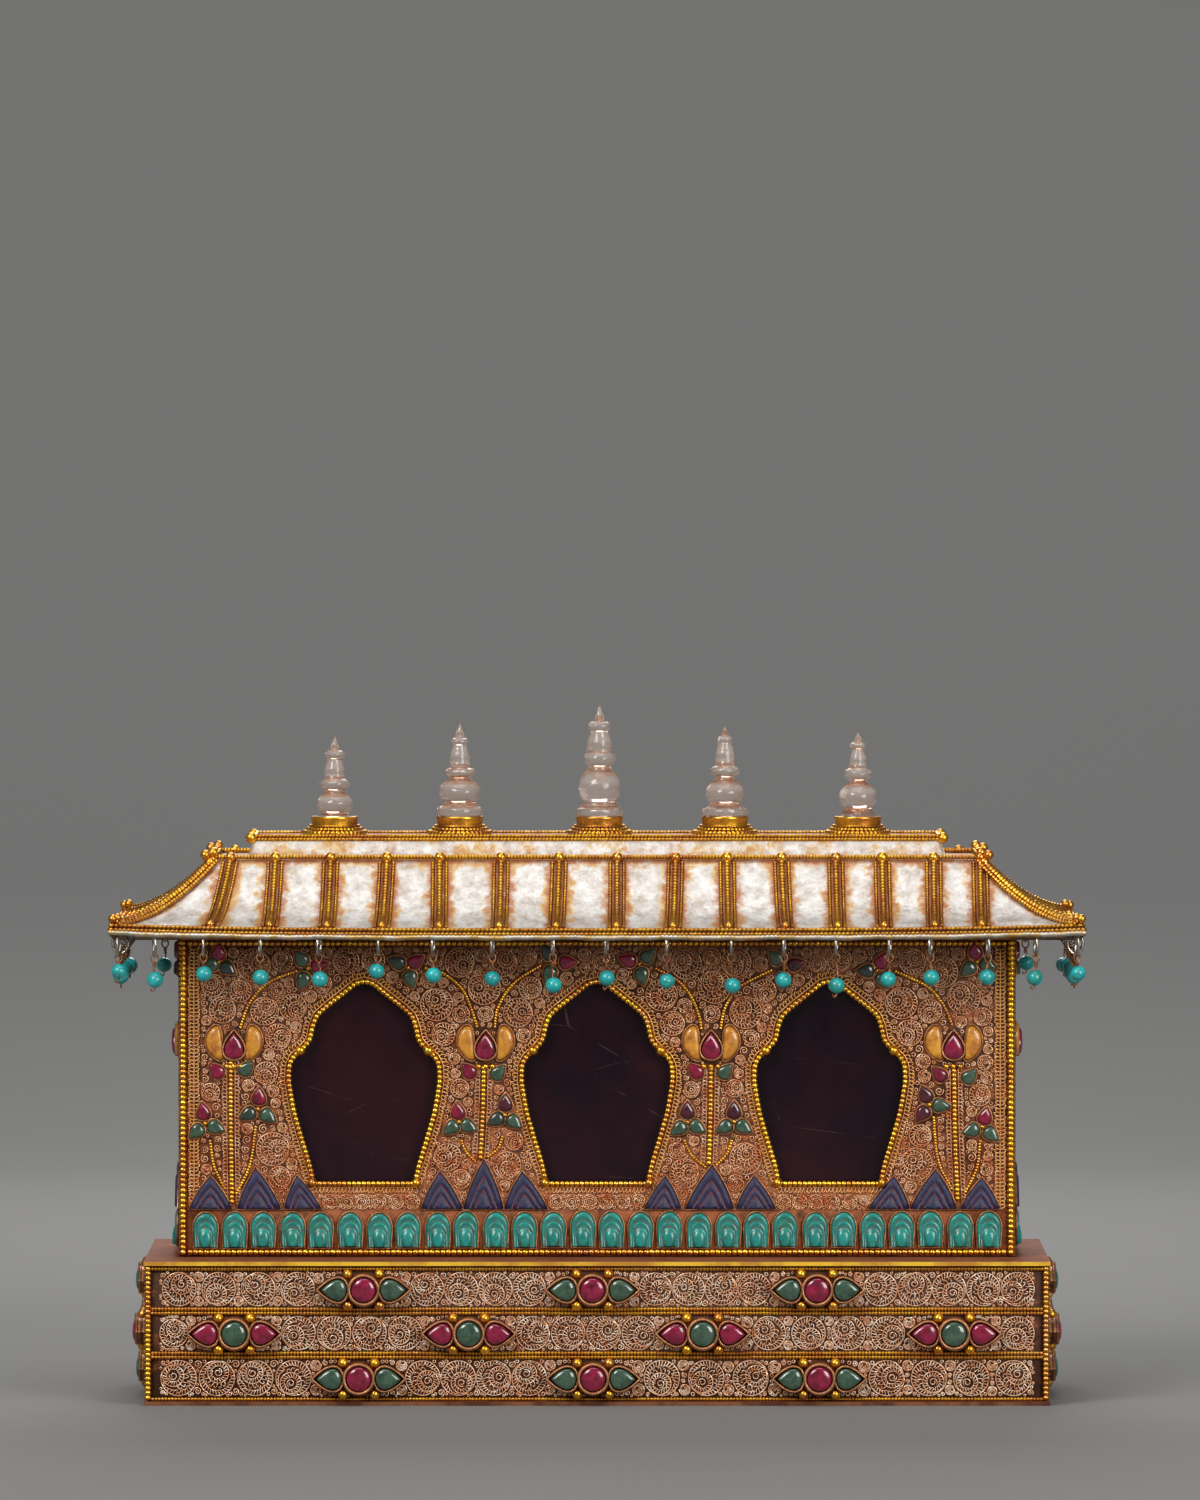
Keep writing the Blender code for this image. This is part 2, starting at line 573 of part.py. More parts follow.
def house_wall(half_width):
    """A plain wall of the house with a moulding round it, in its own axes."""
    low = PLINTH_HEIGHT + REST_GAP
    high = EAVE_UNDERSIDE_Z - REST_GAP
    wall = block("wall", (-half_width, low, -HOUSE_WALL), (half_width, high, 0.0))
    inset = BORDER_WIDTH / 2 + REST_GAP
    reach = half_width - REST_GAP
    levels = (low + inset, high - inset)
    combine(wall, [ridge((-reach, v), (reach, v), BORDER_WIDTH, BORDER_PROUD) for v in levels], "UNION")
    foot, head = low + inset / 2, high - inset / 2
    combine(wall, uprights(half_width - inset, foot, head, BORDER_WIDTH, BORDER_PROUD), "UNION")
    return wall


def house(gilt, glass):
    """The chamber: four walls on the plinth, with three windows in front."""
    face_x = HOUSE_WIDTH / 2 - HOUSE_RELIEF
    face_y = HOUSE_DEPTH / 2 - HOUSE_RELIEF
    windows = (-WINDOW_SPACING, 0.0, WINDOW_SPACING)

    front = house_wall(HOUSE_WIDTH / 2)
    cutters = [frustum(window_outline(u, 0.0), -2 * HOUSE_WALL, HOUSE_WALL, 1.0) for u in windows]
    combine(front, cutters, "DIFFERENCE")
    combine(front, [window_frame(u) for u in windows], "UNION")
    stones = petal_row(FRONT_PETALS, HOUSE_WIDTH / 2)
    for side in (-1, 1):
        stones += triangle_group(side * INNER_BAY_X)
        stones += triangle_group(side * (OUTER_BAY_X - OUTER_TRIANGLES_SHIFT))
        for bay in (INNER_BAY_X, OUTER_BAY_X):
            stones += lotus((side * bay, LOTUS_Z))
        for bay, shift, drop in HIGH_TRIPLETS:
            stones += triplet((side * (bay + shift), EAVE_UNDERSIDE_Z - drop), side * math.radians(60.0))
        for bay, shift, share in LOW_TRIPLETS:
            stones += triplet((side * (bay + shift), WINDOW_SILL_Z + share * LOTUS_RISE), 0.0)
    combine(front, stones, "UNION")
    place_on(front, "front", face_y)
    finished(front, "house_front_wall", gilt)

    back = house_wall(HOUSE_WIDTH / 2)
    place_on(back, "back", face_y)
    finished(back, "house_back_wall", gilt)

    between = face_y - HOUSE_WALL - REST_GAP
    for facing in ("left", "right"):
        side_wall = house_wall(between)
        stones = petal_row(SIDE_PETALS, between, SIDE_STONES_LIFT) + triangle_group(0.0, SIDE_STONES_LIFT)
        for side in (-1, 1):
            place = (side * between / 2, EAVE_UNDERSIDE_Z - SIDE_TRIPLET_DROP)
            stones += triplet(place, math.radians(60.0), SIDE_STONES_LIFT)
        combine(side_wall, stones, "UNION")
        place_on(side_wall, facing, face_x)
        finished(side_wall, "house_" + facing + "_wall", gilt)

    pane_front = -face_y + HOUSE_WALL + REST_GAP
    reach = WINDOW_SHOULDER_HALF + PANE_MARGIN
    for label, u in zip(("left", "middle", "right"), windows):
        block("window_pane_" + label,
              (u - reach, pane_front, WINDOW_SILL_Z - PANE_MARGIN),
              (u + reach, pane_front + PANE_THICKNESS, WINDOW_SILL_Z + WINDOW_PEAK_RISE + PANE_MARGIN), glass)


def flare(share):
    """The roof's slope at a share of the way from the ledge to the eave: its height and its outward lean."""
    foot = EAVE_UNDERSIDE_Z + EAVE_PLATE_THICKNESS + REST_GAP + EAVE_ROLL_HEIGHT
    rise = LEDGE_Z - foot
    height = foot + rise * (1.0 - share) ** FLARE_POWER
    run = (ROOF_DEPTH - LEDGE_DEPTH) / 2 - EAVE_ROLL_INSET
    drop = rise * FLARE_POWER * max(1.0 - share, 0.02) ** (FLARE_POWER - 1.0)
    lean = math.atan2(drop, run)
    return height, lean


def half_sizes(share):
    """Half of the roof's width and depth at a share of the slope."""
    top = Vector((LEDGE_WIDTH / 2, LEDGE_DEPTH / 2))
    foot = Vector((ROOF_WIDTH / 2 - EAVE_ROLL_INSET, ROOF_DEPTH / 2 - EAVE_ROLL_INSET))
    return top.lerp(foot, share)


def slope_columns(ribs, top_half, foot_half):
    """Where the lines down one slope run, as (top, foot, share of the rib's height) about its middle."""
    columns = []
    for i in range(ribs):
        share = 2 * i / (ribs - 1) - 1
        for offset, lift in ((-RIB_WIDTH / 2, 0.0), (0.0, 1.0), (RIB_WIDTH / 2, 0.0)):
            columns.append((share * top_half + offset, share * foot_half + offset, lift))
    return columns


def roof_ring(share, sides):
    """The points all round the roof at one level, anticlockwise from the front left corner."""
    height, lean = flare(share)
    half_x, half_y = half_sizes(share)
    taper = min(1.0, 10.0 * share) * min(1.0, 6.0 * (1.0 - share))
    ring = []
    for across, out, half, far, columns in sides(half_x, half_y):
        hip_u = -half
        corner = across * hip_u + out * far
        outward = math.sin(lean) * RIB_PROUD * taper
        upward = math.cos(lean) * RIB_PROUD * taper
        ring.append(Vector((corner.x + math.copysign(outward, corner.x) * 0.7,
                            corner.y + math.copysign(outward, corner.y) * 0.7,
                            height + upward + CORNER_LIFT * share ** 2)))
        hip_inner = half - HIP_HALF_WIDTH * (1.0 + share)
        lines = [(-hip_inner, 0.0)]
        lines += [(top + (foot - top) * share, lift) for top, foot, lift in columns]
        lines += [(hip_inner, 0.0)]
        for u, lift in lines:
            raised = height + CORNER_LIFT * share ** 2 * abs(u / half) ** 4
            point = across * u + out * (far + outward * lift)
            ring.append(Vector((point.x, point.y, raised + upward * lift)))
    return ring


def roof_sides(half_x, half_y):
    """The four slopes in order, each with its axes, half length, distance and lines."""
    front = slope_columns(FRONT_RIBS, LEDGE_WIDTH / 2 - RIB_FROM_LEDGE_CORNER,
                          ROOF_WIDTH / 2 - RIB_FROM_EAVE_CORNER)
    side = slope_columns(SIDE_RIBS, LEDGE_DEPTH / 2 - RIB_FROM_LEDGE_CORNER,
                         ROOF_DEPTH / 2 - SIDE_RIB_FROM_EAVE_CORNER)
    return (
        (Vector((1, 0, 0)), Vector((0, -1, 0)), half_x, half_y, front),
        (Vector((0, 1, 0)), Vector((1, 0, 0)), half_y, half_x, side),
        (Vector((-1, 0, 0)), Vector((0, 1, 0)), half_x, half_y, front),
        (Vector((0, -1, 0)), Vector((-1, 0, 0)), half_y, half_x, side),
    )


def corners(half_x, half_y, height):
    """Four corners at one level, anticlockwise from the front left."""
    return [Vector((-half_x, -half_y, height)), Vector((half_x, -half_y, height)),
            Vector((half_x, half_y, height)), Vector((-half_x, half_y, height))]


def roof(silver):
    """The eave plate on the walls, and the hollow roof shell on the plate."""
    plate_low = EAVE_UNDERSIDE_Z
    block("eave_plate", (-ROOF_WIDTH / 2, -ROOF_DEPTH / 2, plate_low),
          (ROOF_WIDTH / 2, ROOF_DEPTH / 2, plate_low + EAVE_PLATE_THICKNESS), silver)

    points = []
    faces = []
    rings = []
    for share in FLARE_SHARES:
        ring = roof_ring(share, roof_sides)
        rings.append([len(points) + i for i in range(len(ring))])
        points += ring
    # The eave's roll: the last ring again, lower and out at the roof's full size
    foot_x, foot_y = half_sizes(1.0)
    edge = []
    for point in roof_ring(1.0, roof_sides):
        out_x = point.x * (ROOF_WIDTH / 2) / foot_x if abs(point.x) > foot_x - REST_GAP else point.x
        out_y = point.y * (ROOF_DEPTH / 2) / foot_y if abs(point.y) > foot_y - REST_GAP else point.y
        edge.append(Vector((out_x, out_y, point.z - EAVE_ROLL_BEVEL)))
    rings.append([len(points) + i for i in range(len(edge))])
    points += edge
    count = len(edge)
    for upper, lower in zip(rings, rings[1:]):
        for i in range(count):
            after = (i + 1) % count
            faces.append((upper[i], lower[i], lower[after], upper[after]))

    # Where each side's first point, its corner, lies in a ring
    starts = []
    running = 0
    for _, _, _, _, columns in roof_sides(foot_x, foot_y):
        starts.append(running)
        running += len(columns) + 3
    starts.append(running)

    def strip(ring, fours, flip):
        """Joins each side of a full ring to two of four corners with one many-sided face."""
        for side in range(4):
            along = [ring[i % count] for i in range(starts[side], starts[side + 1] + 1)]
            face = along + [fours[(side + 1) % 4], fours[side]]
            faces.append(tuple(face if flip else reversed(face)))

    def add(four):
        first = len(points)
        points.extend(four)
        return [first + i for i in range(4)]

    def band(above, below):
        for i in range(4):
            after = (i + 1) % 4
            faces.append((above[i], below[i], below[after], above[after]))

    shell_low = plate_low + EAVE_PLATE_THICKNESS + REST_GAP
    outer_foot = add(corners(ROOF_WIDTH / 2, ROOF_DEPTH / 2, shell_low))
    strip(rings[-1], outer_foot, True)
    # The ledge's rope, the ledge, the platform's battered side and its top
    top_x, top_y = half_sizes(0.0)
    rope_low = add(corners(top_x, top_y, LEDGE_Z + LEDGE_ROPE / 3))
    strip(rings[0], rope_low, False)
    rope_top = add(corners(top_x - LEDGE_ROPE / 3, top_y - LEDGE_ROPE / 3, LEDGE_Z + LEDGE_ROPE))
    band(rope_top, rope_low)
    rope_in = add(corners(top_x - LEDGE_ROPE, top_y - LEDGE_ROPE, LEDGE_Z))
    band(rope_in, rope_top)
    platform_low = add(corners(PLATFORM_WIDTH / 2, PLATFORM_DEPTH / 2, LEDGE_Z))
    band(platform_low, rope_in)
    platform_high = add(corners(PLATFORM_WIDTH / 2 - PLATFORM_BATTER, PLATFORM_DEPTH / 2 - PLATFORM_BATTER,
                                PLATFORM_TOP_Z))
    band(platform_high, platform_low)
    faces.append(tuple(platform_high))

    # The inside follows the outside a sheet's thickness within it
    inner = [add(corners(foot_x - ROOF_SHEET, foot_y - ROOF_SHEET, shell_low))]
    for share in reversed(FLARE_SHARES):
        height, lean = flare(share)
        half_x, half_y = half_sizes(share)
        inset = ROOF_SHEET * max(math.sin(lean), 0.35)
        if share == FLARE_SHARES[-1]:
            inset = ROOF_SHEET
        drop = ROOF_SHEET * math.cos(lean)
        inner.append(add(corners(half_x - inset, half_y - inset, height - drop)))
    inner_x = PLATFORM_WIDTH / 2 - ROOF_SHEET
    inner_y = PLATFORM_DEPTH / 2 - ROOF_SHEET
    inner.append(add(corners(inner_x, inner_y, LEDGE_Z - ROOF_SHEET)))
    inner.append(add(corners(inner_x - PLATFORM_BATTER, inner_y - PLATFORM_BATTER,
                             PLATFORM_TOP_Z - ROOF_SHEET)))
    band(inner[0], outer_foot)
    for lower, upper in zip(inner, inner[1:]):
        band(lower, upper)
    faces.append(tuple(reversed(inner[-1])))
    solid("roof_shell", points, faces, silver)


def lathe(name, outline, sides, place, finish):
    """Turns an outline, from its foot up, about an upright axis. A radius of nought is a pole."""
    points = []
    rows = []
    for radius, height in outline:
        if radius == 0.0:
            rows.append([len(points)])
            points.append((place[0], place[1], height))
            continue
        rows.append(list(range(len(points), len(points) + sides)))
        points += [(place[0] + radius * math.cos(math.tau * i / sides),
                    place[1] + radius * math.sin(math.tau * i / sides), height) for i in range(sides)]
    faces = []
    if len(rows[0]) > 1:
        faces.append(tuple(reversed(rows[0])))
    if len(rows[-1]) > 1:
        faces.append(tuple(rows[-1]))
    for low, high in zip(rows, rows[1:]):
        for i in range(sides):
            after = (i + 1) % sides
            if len(low) == 1:
                faces.append((low[0], high[after], high[i]))
            elif len(high) == 1:
                faces.append((low[i], low[after], high[0]))
            else:
                faces.append((low[i], low[after], high[after], high[i]))
    made = solid(name, points, faces, finish)
    made.data.shade_smooth()
    made.data.set_sharp_from_angle(angle=math.radians(45.0))
    return made


def finials(gilt, crystal):
    """Five cups on the platform, and the crystal seated in each."""
    foot = PLATFORM_TOP_Z + REST_GAP
    collar_top = foot + COLLAR_HEIGHT
    inner_radius = CUP_RIM_RADIUS - CUP_WALL
    cup = [
        (COLLAR_RADIUS - COLLAR_HEIGHT / 2, foot),
        (COLLAR_RADIUS, foot + COLLAR_HEIGHT / 2),
        (UPPER_COLLAR_RADIUS, collar_top),
        (UPPER_COLLAR_RADIUS - COLLAR_HEIGHT / 2, collar_top + COLLAR_HEIGHT * 0.8),
        (CUP_RIM_RADIUS, collar_top + COLLAR_HEIGHT),
        (CUP_RIM_RADIUS, CUP_RIM_Z),
        (inner_radius, CUP_RIM_Z),
        (inner_radius, CUP_FLOOR_Z),
        (0.0, CUP_FLOOR_Z),
    ]
    seat = CRYSTAL_SEAT_Z
    foot_radius = inner_radius - SEAT_CLEARANCE
    for i, cut in enumerate(CRYSTALS):
        place = ((i - (len(CRYSTALS) - 1) / 2) * FINIAL_PITCH + cut["shift"], 0.0)
        lathe("finial_cup_" + str(i + 1), cup, CUP_SIDES, place, gilt)
        spike, knop, spindle = cut["spike"], cut["knop"], cut["spindle"]
        ring, neck, bulb, waist = cut["ring"], cut["neck"], cut["bulb"], cut["waist"]
        knop_half = (spike[0] - knop[0]) / 2
        ring_half = (ring[0] - neck[0]) / 2
        outline = [
            (foot_radius, 0.0),
            (foot_radius, 0.6 * waist[0]),
            (waist[1], waist[0]),
            (bulb[1] * 0.9, (waist[0] + bulb[0]) / 2),
            (bulb[1], bulb[0]),
            (bulb[1] * 0.75, 0.3 * bulb[0] + 0.7 * neck[0]),
            (neck[1], neck[0]),
            (ring[1], ring[0] - ring_half),
            (ring[1], ring[0] + ring_half * 0.8),
            (spindle[1], spindle[0]),
            (knop[1] * 0.7, knop[0] - 3 * knop_half),
            (knop[1], knop[0] - knop_half),
            (knop[1], knop[0] + knop_half),
            (spike[1], spike[0]),
            (0.0, cut["tip"]),
        ]
        outline = [(radius, seat + height) for radius, height in outline]
        lathe("crystal_finial_" + str(i + 1), outline, CRYSTAL_SIDES, place, crystal)


def pendant(name, place, drop, turquoise):
    """A bead on a wire, with its middle the given depth below the eave plate."""
    bead_z = EAVE_UNDERSIDE_Z - drop
    outline = [
        (BEAD_END_WIDTH * BEAD_RADIUS, bead_z - BEAD_END_REACH * BEAD_RADIUS),
        (BEAD_RADIUS, bead_z),
        (BEAD_END_WIDTH * BEAD_RADIUS, bead_z + BEAD_END_REACH * BEAD_RADIUS),
        (STEM_RADIUS, bead_z + BEAD_RADIUS),
        (STEM_RADIUS, EAVE_UNDERSIDE_Z - REST_GAP),
    ]
    lathe(name, outline, PENDANT_SIDES, place, turquoise)


def pendants(turquoise):
    """The fringe: nineteen pendants along the front with the corners, and five on each side."""
    reach_x = ROOF_WIDTH / 2 - PENDANT_INSET
    reach_y = ROOF_DEPTH / 2 - PENDANT_INSET
    for i, (share, drop) in enumerate(FRONT_PENDANTS):
        pendant("pendant_front_" + str(i + 1), (reach_x * share, -reach_y), drop, turquoise)
    for label, side in (("left", -1), ("right", 1)):
        for i in range(SIDE_PENDANTS):
            y = reach_y * (2 * (i + 1) / (SIDE_PENDANTS + 1) - 1)
            name = "pendant_" + label + "_" + str(i + 1)
            pendant(name, (side * reach_x, y), SIDE_BEAD_DROP, turquoise)


def main():
    """Builds the whole box."""
    remove_old_objects()
    gilt = material("gilt_metal", (0.78, 0.55, 0.20), 0.35, 1.0)
    copper = material("copper_plate", (0.45, 0.24, 0.15), 0.45, 1.0)
    silver = material("silver_plate", (0.75, 0.74, 0.72), 0.30, 1.0)
    glass = material("dark_glass", (0.03, 0.01, 0.02), 0.10, 0.0, 0.9)
    crystal = material("rock_crystal", (0.95, 0.96, 0.97), 0.05, 0.0, 0.35)
    turquoise = material("turquoise", (0.06, 0.38, 0.38), 0.35, 0.0)
    plinth(gilt, copper)
    house(gilt, glass)
    roof(silver)
    finials(gilt, crystal)
    pendants(turquoise)


main()
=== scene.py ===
"""The looks of the altar box: filigree, beaded wire, stones, silver and rock crystal on the frame."""
import math

import bpy
import numpy as np
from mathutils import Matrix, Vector
from mathutils.geometry import tessellate_polygon


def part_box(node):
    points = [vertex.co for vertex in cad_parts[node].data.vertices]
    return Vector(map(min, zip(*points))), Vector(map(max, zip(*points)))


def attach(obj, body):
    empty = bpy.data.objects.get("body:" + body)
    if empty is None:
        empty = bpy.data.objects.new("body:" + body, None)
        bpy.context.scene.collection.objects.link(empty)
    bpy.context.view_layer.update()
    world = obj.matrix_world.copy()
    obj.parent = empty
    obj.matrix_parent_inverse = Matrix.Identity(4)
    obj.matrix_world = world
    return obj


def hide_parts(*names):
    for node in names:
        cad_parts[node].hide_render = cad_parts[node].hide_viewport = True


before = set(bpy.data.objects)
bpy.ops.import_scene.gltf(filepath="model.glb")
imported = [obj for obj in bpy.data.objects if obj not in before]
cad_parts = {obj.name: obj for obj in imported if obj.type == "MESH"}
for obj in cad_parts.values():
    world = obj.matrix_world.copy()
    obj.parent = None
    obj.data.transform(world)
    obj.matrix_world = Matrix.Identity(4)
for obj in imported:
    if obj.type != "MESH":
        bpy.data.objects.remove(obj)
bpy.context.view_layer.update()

MM = 0.001

# Places taken from the frame, and the surfaces behind its relief that carry the filigree
PLINTH_LOW, PLINTH_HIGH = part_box("plinth_base_plate")[0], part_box("plinth_top_plate")[1]
HOUSE_LOW, HOUSE_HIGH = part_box("house_front_wall")
EAVE_LOW, EAVE_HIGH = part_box("eave_plate")
ROOF_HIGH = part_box("roof_shell")[1]
CUPS = [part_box("finial_cup_%d" % (i + 1)) for i in range(5)]
CRYSTALS = [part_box("crystal_finial_%d" % (i + 1)) for i in range(5)]
FRONT_PENDANTS = ["pendant_front_%d" % (i + 1) for i in range(19)]
SIDE_PENDANTS = ["pendant_%s_%d" % (side, i + 1) for side in ("left", "right") for i in range(5)]
PLINTH_TOP = PLINTH_HIGH.z
HALF_HOUSE = HOUSE_HIGH.x
SKIN = 2.5 * MM
PLINTH_RELIEF = 2.4 * MM
HOUSE_RELIEF = 2.0 * MM
PLINTH_FACE_Y = PLINTH_HIGH.y - PLINTH_RELIEF
PLINTH_FACE_X = PLINTH_HIGH.x - PLINTH_RELIEF
HOUSE_FACE_Y = -HOUSE_LOW.y - HOUSE_RELIEF
HOUSE_FACE_X = HALF_HOUSE - HOUSE_RELIEF
SIDE_REACH = HOUSE_FACE_Y - SKIN

# Places on the house's front
WINDOW_SPACING = 85.9 * MM
WINDOW_MIDDLES = (-WINDOW_SPACING, 0.0, WINDOW_SPACING)
SILL_Z = PLINTH_TOP + 27.1 * MM
LOTUS_Z = SILL_Z + 51.3 * MM
PETAL_HEIGHT = 12.6 * MM
PETALS_FOOT_Z = PLINTH_TOP + 3.8 * MM
PETALS_TOP_Z = PETALS_FOOT_Z + 13.0 * MM
TRIANGLES_FOOT_Z = PETALS_TOP_Z + 1.0 * MM

# The half outline of a window, along the middle of its beaded frame
WINDOW_HALF = [(18.75, 0.0), (20.3, 7.2), (22.3, 13.7), (23.9, 19.1), (25.8, 25.6), (26.9, 31.5),
               (27.9, 38.0), (27.7, 43.7), (26.3, 46.7), (22.5, 50.2), (20.1, 52.9), (19.0, 58.3),
               (17.6, 62.1), (14.1, 65.3), (7.1, 70.8), (3.3, 74.0), (0.0, 74.9)]
# The cusp, and the frame's foot, with the sizes of the balls on them
CUSP = (23.6, 49.2, 2.0)
FRAME_FOOT = (19.2, 0.3, 1.75)

GILT = "gilt_filigree"
COPPER = "copper_plate"
SILVER = "silver_plate"
STONE = "inlaid_stone"

# Each side's way across and way out, and which of two half sizes lies across it
FACINGS = {"front": ((1, 0), (0, -1), 0), "right": ((0, 1), (1, 0), 1),
           "back": ((-1, 0), (0, 1), 0), "left": ((0, -1), (-1, 0), 1)}
CORNERS = [(sx, sy) for sx in (-1, 1) for sy in (-1, 1)]

# Tones that tell plain filigree wire from gilded wire
PLAIN, GILDED = 0.6, 1.0


# Mesh building

class Mesh:
    """Gathers points, faces, a tone for each point and a material slot for each face."""

    def __init__(self):
        self.points = []
        self.tones = []
        self.faces = []
        self.count = 0

    def add(self, points, faces, tone=0.5, slot=0):
        """Adds points and a block of faces with the same number of corners."""
        points = np.asarray(points, dtype=float).reshape(-1, 3)
        faces = np.asarray(faces, dtype=np.int64)
        self.faces.append((faces + self.count, slot))
        self.points.append(points)
        self.tones.append(np.broadcast_to(np.asarray(tone, dtype=float), (len(points),)))
        self.count += len(points)

    def build(self, name, materials, smooth=True):
        """Makes the object."""
        mesh = bpy.data.meshes.new(name)
        corners = np.concatenate([block.ravel() for block, _ in self.faces])
        sizes = np.concatenate([np.full(len(block), block.shape[1]) for block, _ in self.faces])
        slots = np.concatenate([np.full(len(block), slot) for block, slot in self.faces])
        mesh.vertices.add(self.count)
        mesh.vertices.foreach_set("co", np.concatenate(self.points).astype(np.float32).ravel())
        mesh.loops.add(len(corners))
        mesh.loops.foreach_set("vertex_index", corners.astype(np.int32))
        mesh.polygons.add(len(sizes))
        mesh.polygons.foreach_set("loop_start", (np.cumsum(sizes) - sizes).astype(np.int32))
        mesh.polygons.foreach_set("material_index", slots.astype(np.int32))
        mesh.polygons.foreach_set("use_smooth", np.full(len(sizes), smooth))
        mesh.update(calc_edges=True)
        mesh.validate()
        tone = mesh.attributes.new("tone", "FLOAT", "POINT")
        tone.data.foreach_set("value", np.concatenate(self.tones).astype(np.float32))
        for finish in materials:
            mesh.materials.append(finish)
        made = bpy.data.objects.new(name, mesh)
        bpy.context.collection.objects.link(made)
        return made


class Side:
    """The plane of one side: its axes, its distance from the middle, and how far behind it the wall is."""

    def __init__(self, facing, distance, sunk=0.0):
        across, out, _ = FACINGS[facing]
        self.across = np.array((*across, 0.0))
        self.out = np.array((*out, 0.0))
        self.distance = distance
        self.sunk = sunk

    def place(self, points):
        """Turns (across, up, out) points into the scene's own."""
        points = np.asarray(points, dtype=float)
        return (points[..., 0:1] * self.across + points[..., 1:2] * np.array((0.0, 0.0, 1.0))
                + (points[..., 2:3] + self.distance) * self.out)


def grid_faces(rows, columns, closed):
    """Quads over a grid of points, joined round along its columns if it is closed."""
    wide = columns if closed else columns - 1
    row, column = np.meshgrid(np.arange(rows - 1), np.arange(wide), indexing="ij")
    after = (column + 1) % columns
    return np.stack([row * columns + column, row * columns + after,
                     (row + 1) * columns + after, (row + 1) * columns + column], axis=-1).reshape(-1, 4)


def resample(path, step, closed=False):
    """Points at an even step along a path."""
    path = np.asarray(path, dtype=float)
    if closed:
        path = np.vstack([path, path[:1]])
    lengths = np.concatenate([[0.0], np.cumsum(np.linalg.norm(np.diff(path, axis=0), axis=1))])
    count = max(2, int(round(lengths[-1] / step)))
    places = np.linspace(0.0, lengths[-1], count + 1)
    if closed:
        places = places[:-1]
    return np.stack([np.interp(places, lengths, path[:, i]) for i in range(path.shape[1])], axis=1)


def smooth_path(path, step):
    """A soft curve through a few points, at an even step."""
    path = np.asarray(path, dtype=float)
    padded = np.vstack([2 * path[0] - path[1], path, 2 * path[-1] - path[-2]])
    pieces = []
    for i in range(len(path) - 1):
        a, b, c, d = padded[i:i + 4]
        t = np.linspace(0.0, 1.0, 9)[:-1, None]
        pieces.append(0.5 * (2 * b + (c - a) * t + (2 * a - 5 * b + 4 * c - d) * t ** 2
                             + (3 * b - a - 3 * c + d) * t ** 3))
    return resample(np.vstack(pieces + [path[-1:]]), step)


def directions(lines, closed):
    """Unit directions along lines of points."""
    if closed:
        along = np.roll(lines, -1, axis=-2) - np.roll(lines, 1, axis=-2)
    else:
        along = np.gradient(lines, axis=-2)
    return along / np.maximum(np.linalg.norm(along, axis=-1, keepdims=True), 1e-12)


def wires(mesh, side, lines, half_width=0.34 * MM, height=0.85 * MM, closed=False, tone=PLAIN):
    """Lays many equal lines of wire on a side. Each wire is a ridge, highest along its middle."""
    lines = np.asarray(lines, dtype=float)
    if lines.ndim == 2:
        lines = lines[None]
    if not len(lines):
        return
    along = directions(lines, closed)
    across = np.stack([-along[..., 1], along[..., 0]], axis=-1) * half_width
    count, length = lines.shape[:2]
    points = np.zeros((count, length, 3, 3))
    points[:, :, 0, :2] = lines + across
    points[:, :, 1, :2] = lines
    points[:, :, 2, :2] = lines - across
    points[:, :, 1, 2] = height
    steps = length if closed else length - 1
    here = np.arange(steps) * 3
    after = (np.arange(steps) + 1) % length * 3
    quads = np.concatenate([np.stack([here, here + 1, after + 1, after], axis=1),
                            np.stack([here + 1, here + 2, after + 2, after + 1], axis=1)])
    starts = np.arange(count) * length * 3
    # A wire's feet get tone nought, where the filigree finish paints shade
    tones = np.tile(np.array((0.0, tone, 0.0)), count * length)
    faces = (quads[None] + starts[:, None, None]).reshape(-1, 4)
    mesh.add(side.place(points).reshape(-1, 3), faces, tones)
    if not closed:
        last = (length - 1) * 3
        ends = np.array([(0, 2, 1), (last, last + 1, last + 2)])
        ends = (ends[None] + starts[:, None, None]).reshape(-1, 3) + mesh.count - count * length * 3
        mesh.faces.append((ends, 0))


def bead_profile(beads, rings):
    """Where the rings of a beaded wire stand along it, and how thick each is."""
    pattern = {3: ((0.0, 0.58), (0.28, 1.0), (0.72, 1.0)), 2: ((0.0, 0.62), (0.5, 1.0))}[rings]
    places = [i + place for i in range(beads) for place, _ in pattern] + [beads]
    radii = [radius for _ in range(beads) for _, radius in pattern] + [pattern[0][1]]
    return np.array(places, dtype=float), np.array(radii)


def round_wire(mesh, line, up, turn, size, tones, closed, whole=True):
    """Rings of points about a line, joined into a wire, with flat ends where a whole wire is open."""
    along = directions(line, closed)
    across = np.cross(along, up)
    across /= np.maximum(np.linalg.norm(across, axis=1, keepdims=True), 1e-12)
    up = np.cross(across, along)
    points = (line[:, None] + across[:, None] * (np.cos(turn)[None, :, None] * size[:, None, None])
              + up[:, None] * (np.sin(turn)[None, :, None] * size[:, None, None]))
    if closed:
        points = np.concatenate([points, points[:1]])
        tones = np.append(tones, tones[0])
    rows, sides = len(points), len(turn)
    mesh.add(points.reshape(-1, 3), grid_faces(rows, sides, whole)[:, ::-1], np.repeat(tones, sides))
    if whole and not closed:
        ring = np.arange(sides)
        mesh.faces.append((ring[None] + mesh.count - sides * rows, 0))
        mesh.faces.append((ring[None, ::-1] + mesh.count - sides, 0))


